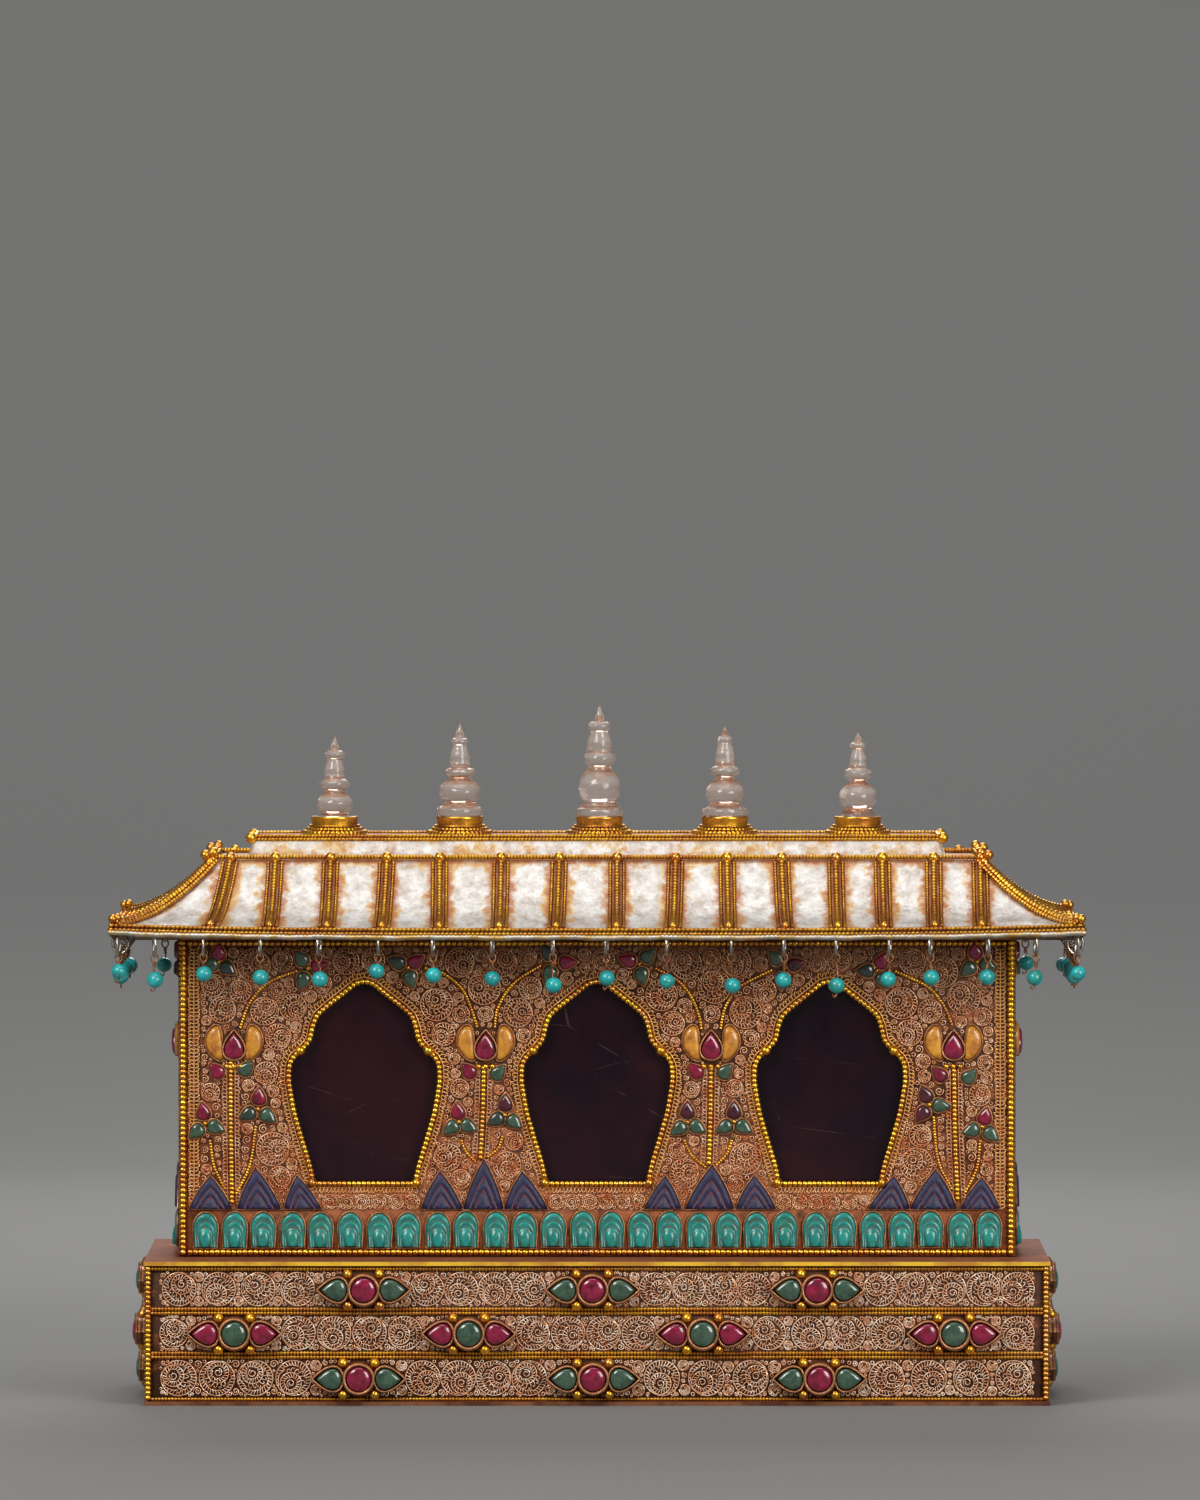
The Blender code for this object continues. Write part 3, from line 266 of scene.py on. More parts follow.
def beaded(mesh, path, pitch, radius, sides=6, rings=3, closed=False, normal=None, jitter=0.0):
    """A wire of beads along a path in the scene. With a normal, its hidden lower side is left off."""
    path = resample(path, pitch, closed)
    beads = len(path) if closed else len(path) - 1
    places, radii = bead_profile(beads, rings)
    if closed:
        places, radii = places[:-1], radii[:-1]
        path = np.vstack([path, path[:1]])
    lengths = np.arange(len(path))
    line = np.stack([np.interp(places, lengths, path[:, i]) for i in range(3)], axis=1)
    if normal is None:
        steep = np.abs(directions(line, closed)[:, 2:3]) > 0.9
        up = np.where(steep, np.array((1.0, 0.0, 0.0)), np.array((0.0, 0.0, 1.0)))
        turn = math.tau * np.arange(sides) / sides
    else:
        up = np.broadcast_to(normal, line.shape)
        turn = np.linspace(-0.28, math.pi + 0.28, sides)
    size = radii * radius
    if jitter:
        size = size * (1.0 + jitter * RANDOM.standard_normal(len(size)).clip(-2, 2))
    # The tone falls in the necks between beads, where the gilt finish paints shade
    round_wire(mesh, line, up, turn, size, (radii - 0.55) / 0.45, closed, normal is None)


def tube(mesh, path, radius, sides=6, closed=False, tone=0.7):
    """A plain round wire along a path in the scene."""
    path = np.asarray(path, dtype=float)
    steep = np.abs(directions(path, closed)[:, 2:3]) > 0.93
    up = np.where(steep, np.array((0.0, 1.0, 0.0)), np.array((0.0, 0.0, 1.0)))
    if closed:
        normal = np.cross(path[0] - path.mean(axis=0), path[len(path) // 4] - path.mean(axis=0))
        up = np.broadcast_to(normal, path.shape)
    turn = math.tau * np.arange(sides) / sides
    round_wire(mesh, path, up, turn, np.full(len(path), radius), np.full(len(path), tone), closed)


def ball(mesh, centre, radius, rings=5, sides=8, squash=1.0):
    """A small round ball."""
    angle = np.linspace(0.0, math.pi, rings + 2)[1:-1]
    turn = math.tau * np.arange(sides) / sides
    x = np.sin(angle)[:, None] * np.cos(turn)
    y = np.sin(angle)[:, None] * np.sin(turn)
    z = np.broadcast_to(-np.cos(angle)[:, None], x.shape) * squash
    body = np.stack([x, y, z], axis=-1).reshape(-1, 3)
    points = np.vstack([body, [(0, 0, -squash)], [(0, 0, squash)]]) * radius + np.asarray(centre)
    mesh.add(points, grid_faces(rings, sides, True), 0.9)
    low, high = rings * sides, rings * sides + 1
    ring = np.arange(sides)
    after = (ring + 1) % sides
    first = mesh.count - len(points)
    mesh.faces.append((np.stack([np.full(sides, low), after, ring], axis=1) + first, 0))
    top = (rings - 1) * sides
    mesh.faces.append((np.stack([np.full(sides, high), top + ring, top + after], axis=1) + first, 0))


def large_ball(mesh, centre, radius):
    """A ball that shows enough to need more faces."""
    ball(mesh, centre, radius, rings=6, sides=10)


def cap_faces(first, ring, centre):
    """Triangles from a ring of points to its middle point."""
    after = np.roll(ring, -1)
    return np.stack([ring, after, np.full(len(ring), centre)], axis=1) + first


def layered(mesh, side, outline, layers, focus, tones, slot=0):
    """A stone built of an outline drawn in towards a focus: each layer is a share and a height."""
    outline = np.asarray(outline, dtype=float)
    focus = np.asarray(focus, dtype=float)
    count = len(outline)
    points = []
    for i, (share, height) in enumerate(layers):
        ring = focus + (outline - focus) * share
        points.append(np.column_stack([ring, np.full(count, height - (0 if i else side.sunk))]))
    points.append(np.array([[focus[0], focus[1], layers[-1][1] + 0.02 * MM]]))
    shades = np.concatenate([np.repeat(tones, count), tones[-1:]])
    first = mesh.count
    mesh.add(side.place(np.vstack(points)), grid_faces(len(layers), count, True), shades, slot)
    ring = np.arange(count) + (len(layers) - 1) * count
    mesh.faces.append((cap_faces(first, ring, len(layers) * count), slot))


def dome(mesh, side, outline, height, foot=0.0, slot=0, rings=6, fullness=0.62):
    """A polished cabochon over an outline."""
    layers = [(1.0, foot - 0.3 * MM)]
    for share in np.linspace(0.0, 1.0, rings + 1)[:-1]:
        angle = share * math.pi / 2
        layers.append((math.cos(angle) ** 0.85, foot + height * (0.35 + 0.65 * math.sin(angle) ** fullness)))
    middle = np.asarray(outline).mean(axis=0)
    # The stone's foot gets low tones, where the gem finish paints shade
    layered(mesh, side, outline, layers, middle, np.linspace(0.0, 1.0, len(layers)), slot)


def lifted(side, points, height):
    """A flat path raised over a side."""
    return side.place(np.column_stack([points, np.full(len(points), height)]))


def bezel(mesh, side, outline, radius, height):
    """A round wire about an outline, with a wall of such wires below it where the stone stands proud."""
    tube(mesh, lifted(side, outline, height), radius, 5, closed=True, tone=0.9)
    if side.sunk:
        collar(mesh, side, outline, height)


def collar(mesh, side, outline, top):
    """A wall of stacked wires about an outline, down to the wall that carries the stone."""
    count = max(1, int(round(side.sunk / (1.5 * MM))))
    heart = outline.mean(axis=0)
    rings = []
    for i, height in enumerate(np.linspace(top, -side.sunk, 2 * count + 1)):
        ring = heart + (outline - heart) * (1.05 if i % 2 else 0.99)
        rings.append(np.column_stack([ring, np.full(len(ring), height)]))
    # Low tones between the stacked wires, where the copper finish paints shade
    tones = np.repeat([1.0 if i % 2 else 0.1 for i in range(len(rings))], len(outline))
    mesh.add(side.place(np.vstack(rings)), grid_faces(len(rings), len(outline), True)[:, ::-1], tones)


def moved(outline, centre, tilt=0.0):
    """Turns an outline about its origin and moves it."""
    outline = np.asarray(outline, dtype=float)
    cosine, sine = math.cos(tilt), math.sin(tilt)
    return np.column_stack([centre[0] + outline[:, 0] * cosine - outline[:, 1] * sine,
                            centre[1] + outline[:, 0] * sine + outline[:, 1] * cosine])


def drop_outline(length, width, count=20, point=1.25):
    """A drop that points along +V."""
    angle = math.tau * np.arange(count) / count
    u = -np.sin(angle) * np.abs(np.sin(angle / 2)) ** point
    return np.column_stack([u / np.abs(u).max() * width / 2, np.cos(angle) * length / 2])


def bent_leaf(length, width, hand, count=24):
    """A petal like a bean, fullest below its head and bent outwards at its middle."""
    angle = math.tau * np.arange(count) / count
    v = np.cos(angle)
    u = -np.sin(angle) * (0.88 + 0.12 * v) * width / 2 / 0.90
    return np.column_stack([u + hand * width * 0.24 * (1.0 - v ** 2) - hand * width * 0.16, v * length / 2])


def round_outline(radius, count=24):
    """A circle."""
    angle = math.tau * np.arange(count) / count
    return np.column_stack([np.cos(angle), np.sin(angle)]) * radius


def arch_outline(width, height, count=14):
    """A petal with a flat foot at the origin and a round, slightly pointed head."""
    half = width / 2
    shoulder = 0.52 * height
    angle = np.linspace(0.0, math.pi, count)
    head = np.column_stack([half * np.cos(angle), shoulder + (height - shoulder) * np.sin(angle) ** 0.9])
    foot = np.array([(-half * 0.94, 0.0), (-half * 0.45, 0.0), (half * 0.45, 0.0), (half * 0.94, 0.0)])
    return np.vstack([head, foot])


def triangle_outline(width, height, count=6):
    """A triangle with sides that swell a little."""
    half = width / 2
    t = np.linspace(0.0, 1.0, count)
    swell = np.sin(math.pi * t) * 0.05 * width
    right = np.column_stack([half * (1 - t) + swell, height * t])
    left = np.column_stack([-half * t[1:] - swell[1:], height * (1 - t[1:])])
    foot = np.linspace((-half, 0.0), (half, 0.0), 5)[1:-1]
    return np.vstack([right, left, foot])


RANDOM = np.random.default_rng(26)


# Filigree

# The flat line of a hook, as shares of its reach and of the spacing
HOOK = np.array([(0.0, 0.0), (0.40, 0.12), (0.76, 0.46), (0.84, 1.0), (0.50, 0.94)])
HOOK_SPACING = 1.36 * MM
WIRE = 0.29 * MM


def hooks(mesh, side, roots, inward, along, reach, spacing, tone=PLAIN):
    """Small comma-shaped curls from a wire's side. Roots, inward and along are arrays of flat vectors."""
    if not len(roots):
        return
    loose = 1.0 + 0.10 * RANDOM.standard_normal((len(roots), 1, 1)).clip(-2, 2)
    reach = np.broadcast_to(np.asarray(reach, dtype=float), (len(roots),))[:, None, None]
    lines = (roots[:, None] + inward[:, None] * HOOK[None, :, :1] * reach * loose
             + along[:, None] * HOOK[None, :, 1:] * spacing)
    wires(mesh, side, lines, 0.185 * spacing, 0.80 * MM, tone=tone)


def units(angle):
    """Flat unit vectors at some angles."""
    return np.column_stack([np.cos(angle), np.sin(angle)])


def spokes(centre, radius, start, hand, spacing):
    """Points round a circle, with the ways out from its middle and on along it."""
    count = max(6, int(math.tau * radius / spacing))
    radial = units(start + hand * math.tau * np.arange(count) / count)
    tangent = np.column_stack([-radial[:, 1], radial[:, 0]]) * hand
    return centre + radial * radius, radial, tangent


def scroll(mesh, side, centre, radius, start, hand, spacing=HOOK_SPACING):
    """A ring of wire that runs on into a smaller ring, with a curl at its heart and hooks between."""
    small = radius < 3.2 * MM
    inner = radius * (0.48 if small else 0.60)
    middle = centre if small else centre + units([start])[0] * (radius - inner - 0.5 * MM)
    angle = np.arange(0.0, (1.9 if small else 2.04) * math.tau, 0.34 if radius > 4 * MM else 0.5)
    share = np.clip((angle / math.tau - 0.85) / 0.3, 0.0, 1.0)[:, None]
    share = share * share * (3.0 - 2.0 * share)
    line = centre + (middle - centre) * share
    line = line + units(start + hand * angle) * (radius + (inner - radius) * share)
    wires(mesh, side, line, WIRE, 0.9 * MM)
    angle = np.arange(0.0, 1.3 * math.tau, 0.6)
    reach = inner * (0.55 if small else 0.40) * (1.0 - 0.5 * angle / math.tau)
    wires(mesh, side, middle + units(start + hand * angle) * reach[:, None], WIRE * 0.9)

    roots, radial, tangent = spokes(centre, radius, start, hand, spacing)
    gap = np.linalg.norm(roots - middle, axis=1) - inner
    use = gap > 0.8 * MM
    reach = gap * np.where(gap > 3.0 * MM, 0.58, 0.95)
    hooks(mesh, side, roots[use], -radial[use], tangent[use], reach[use], spacing)
    if small:
        return
    roots, radial, tangent = spokes(middle, inner, start, hand, spacing)
    hooks(mesh, side, roots, -radial, tangent, 0.58 * inner, spacing)
    gap = radius - np.linalg.norm(roots - centre, axis=1)
    use = gap > 3.0 * MM
    hooks(mesh, side, roots[use], radial[use], tangent[use], gap[use] * 0.52, spacing)


def curl(mesh, side, centre, radius, start, hand):
    """A small curl, drawn in to its heart."""
    angle = np.arange(0.0, 1.6 * math.tau, 0.55)
    distance = radius * (1.0 - 0.55 * angle / math.tau)
    wires(mesh, side, centre + units(start + hand * angle) * distance[:, None], WIRE)


def ring(mesh, side, centre, radius):
    """A closed ring of wire."""
    wires(mesh, side, centre + round_outline(radius, 7), WIRE * 0.9, closed=True)


def fern(mesh, side, path, reach, spacing=HOOK_SPACING, both=True, closed=False, tone=GILDED):
    """A wire along a path with a column of hooks on one side of it, or on both."""
    path = resample(path, spacing, closed)
    along = directions(path, closed)
    across = np.column_stack([-along[:, 1], along[:, 0]])
    wires(mesh, side, path, WIRE, closed=closed, tone=tone)
    for hand in (1.0, -1.0) if both else (1.0,):
        hooks(mesh, side, path, across * hand, along, reach, spacing, tone=tone)


class Field:
    """How far each spot of a side is from what already stands there, on a fine grid."""

    STEP = 0.5 * MM

    def __init__(self, low, high):
        self.low = np.array(low)
        self.shape = (int((high[1] - low[1]) / self.STEP) + 1, int((high[0] - low[0]) / self.STEP) + 1)
        v, u = np.meshgrid(np.arange(self.shape[0]), np.arange(self.shape[1]), indexing="ij")
        self.u = low[0] + u * self.STEP
        self.v = low[1] + v * self.STEP
        self.room = np.minimum(np.minimum(self.u - low[0], high[0] - self.u),
                               np.minimum(self.v - low[1], high[1] - self.v))

    def window(self, low_u, low_v, high_u, high_v, margin=8.0 * MM):
        """The grid's rows and columns about a rectangle."""
        first = lambda value, start, size: int(np.clip((value - start) / self.STEP, 0, size))
        return (slice(first(low_v - margin, self.low[1], self.shape[0]),
                      first(high_v + margin, self.low[1], self.shape[0]) + 1),
                slice(first(low_u - margin, self.low[0], self.shape[1]),
                      first(high_u + margin, self.low[0], self.shape[1]) + 1))

    def circle(self, centre, radius):
        """Takes up a disc."""
        part = self.window(centre[0] - radius, centre[1] - radius, centre[0] + radius, centre[1] + radius)
        distance = np.hypot(self.u[part] - centre[0], self.v[part] - centre[1]) - radius
        self.room[part] = np.minimum(self.room[part], distance)

    def path(self, points, width, closed=False):
        """Takes up a strip along a path."""
        points = np.asarray(points, dtype=float)
        if closed:
            points = np.vstack([points, points[:1]])
        for start, end in zip(points[:-1], points[1:]):
            part = self.window(*np.minimum(start, end), *np.maximum(start, end))
            run = end - start
            u, v = self.u[part] - start[0], self.v[part] - start[1]
            share = ((u * run[0] + v * run[1]) / max(run @ run, 1e-12)).clip(0.0, 1.0)
            distance = np.hypot(u - share * run[0], v - share * run[1])
            self.room[part] = np.minimum(self.room[part], distance - width / 2)

    def area(self, outline, margin=0.0):
        """Takes up all that lies within an outline."""
        outline = np.asarray(outline, dtype=float)
        part = self.window(*outline.min(axis=0), *outline.max(axis=0))
        u, v = self.u[part], self.v[part]
        inside = np.zeros(u.shape, dtype=bool)
        for a, b in zip(outline, np.roll(outline, -1, axis=0)):
            crosses = (a[1] > v) != (b[1] > v)
            slope = (b[0] - a[0]) / (b[1] - a[1]) if a[1] != b[1] else 0.0
            inside ^= crosses & (u < a[0] + (v - a[1]) * slope)
        self.room[part][inside] = -1.0
        self.path(outline, 2 * margin, closed=True)

    def fill(self, mesh, side, big, fine=1.0):
        """Packs scrolls, then curls and rings, into the room that is left."""
        hand = 1.0
        while True:
            radius = RANDOM.uniform(*big)
            if not (self.room >= radius).any():
                radius = self.room.max()
                if radius < 1.9 * MM * fine:
                    break
            score = np.where(self.room >= radius, self.room + 0.02 * self.u, np.inf)
            centre = self.centre(np.argmin(score))
            start = RANDOM.uniform(0.0, math.tau)
            scroll(mesh, side, centre, radius - 0.25 * MM, start, hand, HOOK_SPACING * fine)
            self.circle(centre, radius)
            hand = -hand
        while self.room.max() > 0.50 * MM * fine:
            radius = self.room.max()
            centre = self.centre(np.argmax(self.room))
            if radius > 0.95 * MM * fine:
                curl(mesh, side, centre, radius - 0.1 * MM, RANDOM.uniform(0.0, math.tau), hand)
            else:
                ring(mesh, side, centre, radius * 0.8)
            self.circle(centre, radius)
            hand = -hand

    def centre(self, index):
        """The place of a spot of the grid."""
        return np.array((self.u.flat[index], self.v.flat[index]))


def band(mesh, side, half_width, low, high, stones, spacing=HOOK_SPACING):
    """A band of the plinth: a row of scrolls between the clusters of stones, and curls in the corners."""
    field = Field((-half_width, low), (half_width, high))
    middle = (low + high) / 2
    gaps = [-half_width]
    for u in stones:
        field.circle((u, middle), CLUSTER_ROOM)
        gaps += [u - DROP_REACH - DROP_END, u + DROP_REACH + DROP_END]
        for hand in (-1, 1):
            drop = drop_outline(*DROP_ROOM)
            field.area(moved(drop, (u + hand * DROP_REACH, middle), -hand * math.pi / 2))
            for height in (-1, 1):
                field.circle((u + hand * BALL_ROOM[0], middle + height * BALL_ROOM[1]), BALL_ROOM[2])
    gaps.append(half_width)
    radius = (high - low) / 2
    hand = 1.0
    for start, end in zip(gaps[::2], gaps[1::2]):
        count = max(1, int(round((end - start) / (2.06 * radius))))
        for i in range(count):
            centre = np.array((start + (i + 0.5) * (end - start) / count, middle))
            size = min(radius, (end - start) / count / 2 + 0.2 * MM)
            scroll(mesh, side, centre, size - 0.3 * MM, RANDOM.uniform(0.0, math.tau), hand, spacing)
            field.circle(centre, size)
            hand = -hand
    field.fill(mesh, side, (2.4 * MM, 3.2 * MM), spacing / HOOK_SPACING)


# The photo's pixels on the planes that carry the ornament, for places that no size in the frame gives

LENS_ROW = 350.0
LENS_COLUMN = 597.0
LENS_HEIGHT = 388.0 * MM
HOUSE_PIXEL = 0.36918 * MM
PLINTH_PIXEL = 0.36729 * MM
FINIAL_PIXEL = 0.37204 * MM
EAVE_PIXEL = 0.3671 * MM
LEDGE_PIXEL = 0.36955 * MM


def spot(column, row, pixel=HOUSE_PIXEL):
    """The place across and up on the front for a pixel of the photo."""
    return np.array(((column - LENS_COLUMN) * pixel, LENS_HEIGHT - (row - LENS_ROW) * pixel))


RUBY, JADE, DARK_JADE, GARNET, AMBER, TURQUOISE, LAPIS = range(7)

LOTUSES = [(234.1, 1045.0), (485.6, 1045.0), (711.0, 1045.0), (953.3, 1045.0)]
THICK_STEMS = [((231, 1061), (231, 1130), (232, 1204)), ((484, 1066), (483, 1110), (480.5, 1160)),
               ((711, 1067), (710.5, 1115), (708.8, 1165.6)), ((954, 1069), (955, 1135), (957.7, 1201))]
LOW_STEMS = [((225, 1190), (214, 1166), (210, 1140)), ((236, 1195), (250, 1165), (256, 1126)),
             ((476, 1163), (466, 1152), (461, 1140)), ((487, 1158), (498, 1149), (503, 1136)),
             ((706, 1168), (691, 1155), (684, 1140)), ((716, 1166), (727, 1154), (732, 1140)),
             ((952, 1190), (938, 1160), (933.5, 1116.5)), ((965, 1193.5), (977, 1168), (980.4, 1140))]
HIGH_STEMS = [((240, 1029), (248, 1006.5), (261, 989), (275.6, 979), (297.6, 971)),
              ((477.5, 1028), (471, 1008), (462, 989), (443, 973.5), (424, 968)),
              ((495, 1028.5), (497, 1011), (506, 993), (519, 979), (541, 965.5)),
              ((701.5, 1030), (698.5, 1014), (690, 995), (676.5, 980), (654.5, 968)),
              ((720.5, 1030), (723, 1015), (728, 1002), (741, 986), (772, 970)),
              ((952, 1026), (947, 1012), (939, 999), (926, 986), (894, 971))]
# Groups of three leaves about their middle: stone, column, row
TRIPLETS = [
    ((RUBY, 218.4, 951), (JADE, 209.6, 966), (DARK_JADE, 228.7, 969)),
    ((JADE, 300.5, 958), (RUBY, 320.4, 965.5), (JADE, 302.7, 981.6)),
    ((DARK_JADE, 396, 962), (RUBY, 416.7, 961), (JADE, 410.8, 980)),
    ((DARK_JADE, 547, 951.5), (RUBY, 568.5, 962.5), (JADE, 548.7, 975)),
    ((RUBY, 626.7, 960), (JADE, 648.7, 955), (JADE, 642, 977)),
    ((JADE, 774.8, 957), (GARNET, 796.8, 964), (JADE, 782, 981.6)),
    ((DARK_JADE, 864.5, 971), (RUBY, 882, 960), (JADE, 883, 981.6)),
    ((RUBY, 974.6, 950), (JADE, 967, 970), (JADE, 988.5, 965.5)),
    ((RUBY, 203.3, 1111), (JADE, 195.7, 1132.6), (JADE, 216.9, 1128)),
    ((RUBY, 259, 1096), (DARK_JADE, 247, 1115), (JADE, 269, 1117)),
    ((RUBY, 458, 1110.6), (JADE, 450.4, 1129), (JADE, 469.5, 1127)),
    ((GARNET, 505.5, 1102.5), (DARK_JADE, 495, 1120.5), (JADE, 515, 1123)),
    ((GARNET, 687.5, 1110), (JADE, 678, 1129.7), (JADE, 698, 1128)),
    ((GARNET, 734.2, 1110), (JADE, 723.5, 1128), (JADE, 744.5, 1128)),
    ((GARNET, 925, 1094), (GARNET, 921.7, 1115), (JADE, 942, 1106)),
    ((RUBY, 985.3, 1115.7), (JADE, 970.2, 1131), (JADE, 992, 1135.5)),
]
LEAF_PAIRS = [((215.8, 1070.4), (247, 1068)), ((468, 1070.4), (499, 1072)),
              ((694.9, 1070.6), (726, 1071)), ((938.6, 1073.9), (970, 1076))]
# Columns of each triangle's left foot, apex and right foot, and the row of its apex
TRIANGLES = [(188, 210.3, 233, 1176.6), (236, 255.8, 282, 1168.5), (283, 297.3, 322.6, 1176),
             (420, 440.1, 464, 1172), (462, 484.1, 504.7, 1159.7), (503, 522.3, 548.7, 1172),
             (643, 665.5, 682.4, 1176), (684, 712.5, 735, 1165.6), (734.5, 754.3, 777, 1176),
             (867.5, 893.9, 910.7, 1176.6), (909, 935.7, 957.7, 1170), (959, 981.9, 1001, 1178)]
# Columns of the clusters on the plinth, row by row from the top, with their round stones and their drops
CLUSTER_ROWS = [((363.6, 592.5, 817.1), RUBY, JADE), ((234.3, 468.8, 702.7, 954.1), JADE, RUBY),
                ((358.7, 593.2, 819.4), RUBY, JADE)]

LEAF_LENGTH = 6.9 * MM
LEAF_WIDTH = 5.0 * MM
FERN_REACH = 2.3 * MM
# How far the border of a wall of the house reaches in from its edges and down from its head
BORDER = 3.3 * MM
HEAD_BORDER = 3.0 * MM
# Where the domes of the stones start over the sheet, and how high they rise
STONE_FOOT = 0.3 * MM
LEAF_RISE = 1.9 * MM
AMBER_RISE = 2.0 * MM
RUBY_RISE = 2.3 * MM
# A lotus: its amber petals, its ruby and the rim about it, as lengths and widths
AMBER_SIZE = (12.6 * MM, 6.0 * MM)
RUBY_SIZE = (9.8 * MM, 6.9 * MM)
RIM_SIZE = (12.2 * MM, 9.2 * MM)
AMBER_SPREAD = 6.8 * MM
# A cluster on the plinth: the radii of its rim and its round stone, its drops and their bezels, and its balls
CLUSTER_RIM = 6.0 * MM
CLUSTER_STONE = 4.5 * MM
DROP_SIZE = (9.2 * MM, 7.6 * MM)
DROP_BEZEL = (11.6 * MM, 9.4 * MM)
CLUSTER_BALL = 1.95 * MM
CLUSTER_BALL_PLACE = (5.8 * MM, 5.7 * MM, 3.4 * MM)
# The room that a cluster takes up: its rim, its drops and what lies past their middles, and its balls
CLUSTER_ROOM = 6.6 * MM
DROP_ROOM = (12.4 * MM, 10.4 * MM)
DROP_END = 5.6 * MM
BALL_ROOM = (6.0 * MM, 6.1 * MM, 1.7 * MM)
# From the middle of a cluster to the middle of each drop's bezel
DROP_REACH = 11.4 * MM
# Radius and pitch of the beaded stems
THICK_STEM = (1.1 * MM, 1.62 * MM)
THIN_STEM = (0.66 * MM, 1.07 * MM)
# Middles of the ropes, and feet and heads of the bands, over the ground
ROPE_ROWS = (18.5 * MM, 34.7 * MM)
BAND_ROWS = ((3.2 * MM, 16.9 * MM), (20.1 * MM, 33.1 * MM), (36.3 * MM, 49.3 * MM))
# How far the bezels of the plinth's clusters, and the stones of the short walls, stand out from their walls
CLUSTER_LIFT = 4.4 * MM
SIDE_LIFT = 2.1 * MM


def window_outline(middle):
    """The beaded frame's line about a window."""
    right = np.array(WINDOW_HALF) * MM
    left = right[-2::-1] * (-1, 1)
    return np.vstack([right, left]) + (middle, SILL_Z)


class Inlay:
    """The stones of one wall, with their bezels, balls and beaded wires, and the room they take up."""

    def __init__(self, facing, distance, field, parts, lift=0.0):
        self.wall = Side(facing, distance)
        self.side = Side(facing, distance + lift, lift)
        self.field = field
        self.parts = parts

    def leaf(self, kind, centre, tilt, length=LEAF_LENGTH, width=LEAF_WIDTH):
        """A small drop in a thin bezel."""
        inner = moved(drop_outline(length, width, 16), centre, tilt)
        outer = moved(drop_outline(length + 0.8 * MM, width + 0.8 * MM, 16), centre, tilt)
        dome(self.parts["stones"], self.side, inner, LEAF_RISE, STONE_FOOT, kind, rings=4)
        bezel(self.parts["bezels"], self.side, outer, 0.42 * MM, 0.55 * MM)
        self.field.area(outer, 0.5 * MM)

    def triplet(self, leaves):
        """Three leaves that point away from their middle, with a ball there."""
        places = np.array([(u, v) for _, u, v in leaves])
        middle = places.mean(axis=0)
        for (kind, _, _), place in zip(leaves, places):
            out = place - middle
            self.leaf(kind, place, math.atan2(-out[0], out[1]))
        ball(self.parts["balls"], self.wall.place((*middle, 0.8 * MM)), 1.0 * MM)

    def lotus(self, centre):
        """A ruby drop between two amber petals, with small balls at its foot."""
        for hand in (-1, 1):
            place = (centre[0] + hand * AMBER_SPREAD, centre[1] + 0.5 * MM)
            petal = moved(bent_leaf(*AMBER_SIZE, hand), place, -hand * 0.16)
            dome(self.parts["stones"], self.side, petal, AMBER_RISE, STONE_FOOT, AMBER, rings=4)
            middle = petal.mean(axis=0)
            wide = middle + (petal - middle) * 1.1
            bezel(self.parts["bezels"], self.side, wide, 0.45 * MM, 0.6 * MM)
            self.field.area(wide, 0.6 * MM)
        heart = moved(drop_outline(*RUBY_SIZE, 24, 1.0), (centre[0], centre[1] - 0.4 * MM))
        dome(self.parts["stones"], self.side, heart, RUBY_RISE, STONE_FOOT + 1.0 * MM, RUBY, rings=6)
        rim = moved(drop_outline(*RIM_SIZE, 24, 1.0), centre)
        layers = [(1.0, 0.0), (1.0, 2.2 * MM), (0.88, 2.4 * MM), (0.8, 1.5 * MM)]
        # The rim's foot and inner edge get low tones, where the copper finish paints shade
        layered(self.parts["bezels"], self.side, rim, layers, (centre[0], centre[1] - 0.4 * MM),
                np.array((0.1, 0.8, 1.0, 0.1)))
        self.field.area(rim, 0.5 * MM)
        for hand in (-1, 0, 1):
            place = (centre[0] + hand * 2.6 * MM, centre[1] - 8.0 * MM, 0.9 * MM)
            ball(self.parts["balls"], self.wall.place(place), 1.15 * MM)

    def stem(self, points, radius, pitch):
        """A beaded stem along a path."""
        path = smooth_path(points, pitch)
        beaded(self.parts["beaded_wires"], lifted(self.wall, path, 0.6 * radius), pitch, radius, 6, 3,
               normal=self.wall.out)
        self.field.path(path, 2 * radius + 0.3 * MM)

    def petal(self, centre_u, foot, width, height):
        """A turquoise petal with arched grooves, in a bezel."""
        outline = arch_outline(width, height) + (centre_u, foot)
        layers = [(1.0, 0.0), (0.99, 1.1 * MM), (0.92, 1.6 * MM), (0.84, 1.6 * MM), (0.78, 1.0 * MM),
                  (0.70, 1.6 * MM), (0.64, 1.6 * MM), (0.57, 1.0 * MM), (0.50, 2.0 * MM), (0.30, 2.55 * MM)]
        tones = np.array((0.0, 0.5, 1.0, 0.95, 0.1, 0.9, 0.9, 0.1, 1.0, 1.0))
        focus = (centre_u, foot + 0.03 * height)
        layered(self.parts["stones"], self.side, outline, layers, focus, tones, TURQUOISE)
        middle = np.array((centre_u, foot + height / 2))
        bezel(self.parts["bezels"], self.side, middle + (outline - middle) * 1.07, 0.4 * MM, 0.6 * MM)

    def petals(self, half_width, count):
        """The row of petals at a wall's foot."""
        pitch = 2 * (half_width - 4.4 * MM) / count
        for i in range(count):
            loose = RANDOM.uniform(-0.25, 0.25, 3) * MM
            self.petal((i - (count - 1) / 2) * pitch + loose[0], PETALS_FOOT_Z + loose[1], pitch - 1.9 * MM,
                       PETAL_HEIGHT + loose[2])
        low, high = PETALS_FOOT_Z - 3 * MM, PETALS_FOOT_Z + PETAL_HEIGHT + 0.9 * MM
        self.field.area([(-half_width, low), (half_width, low), (half_width, high), (-half_width, high)])

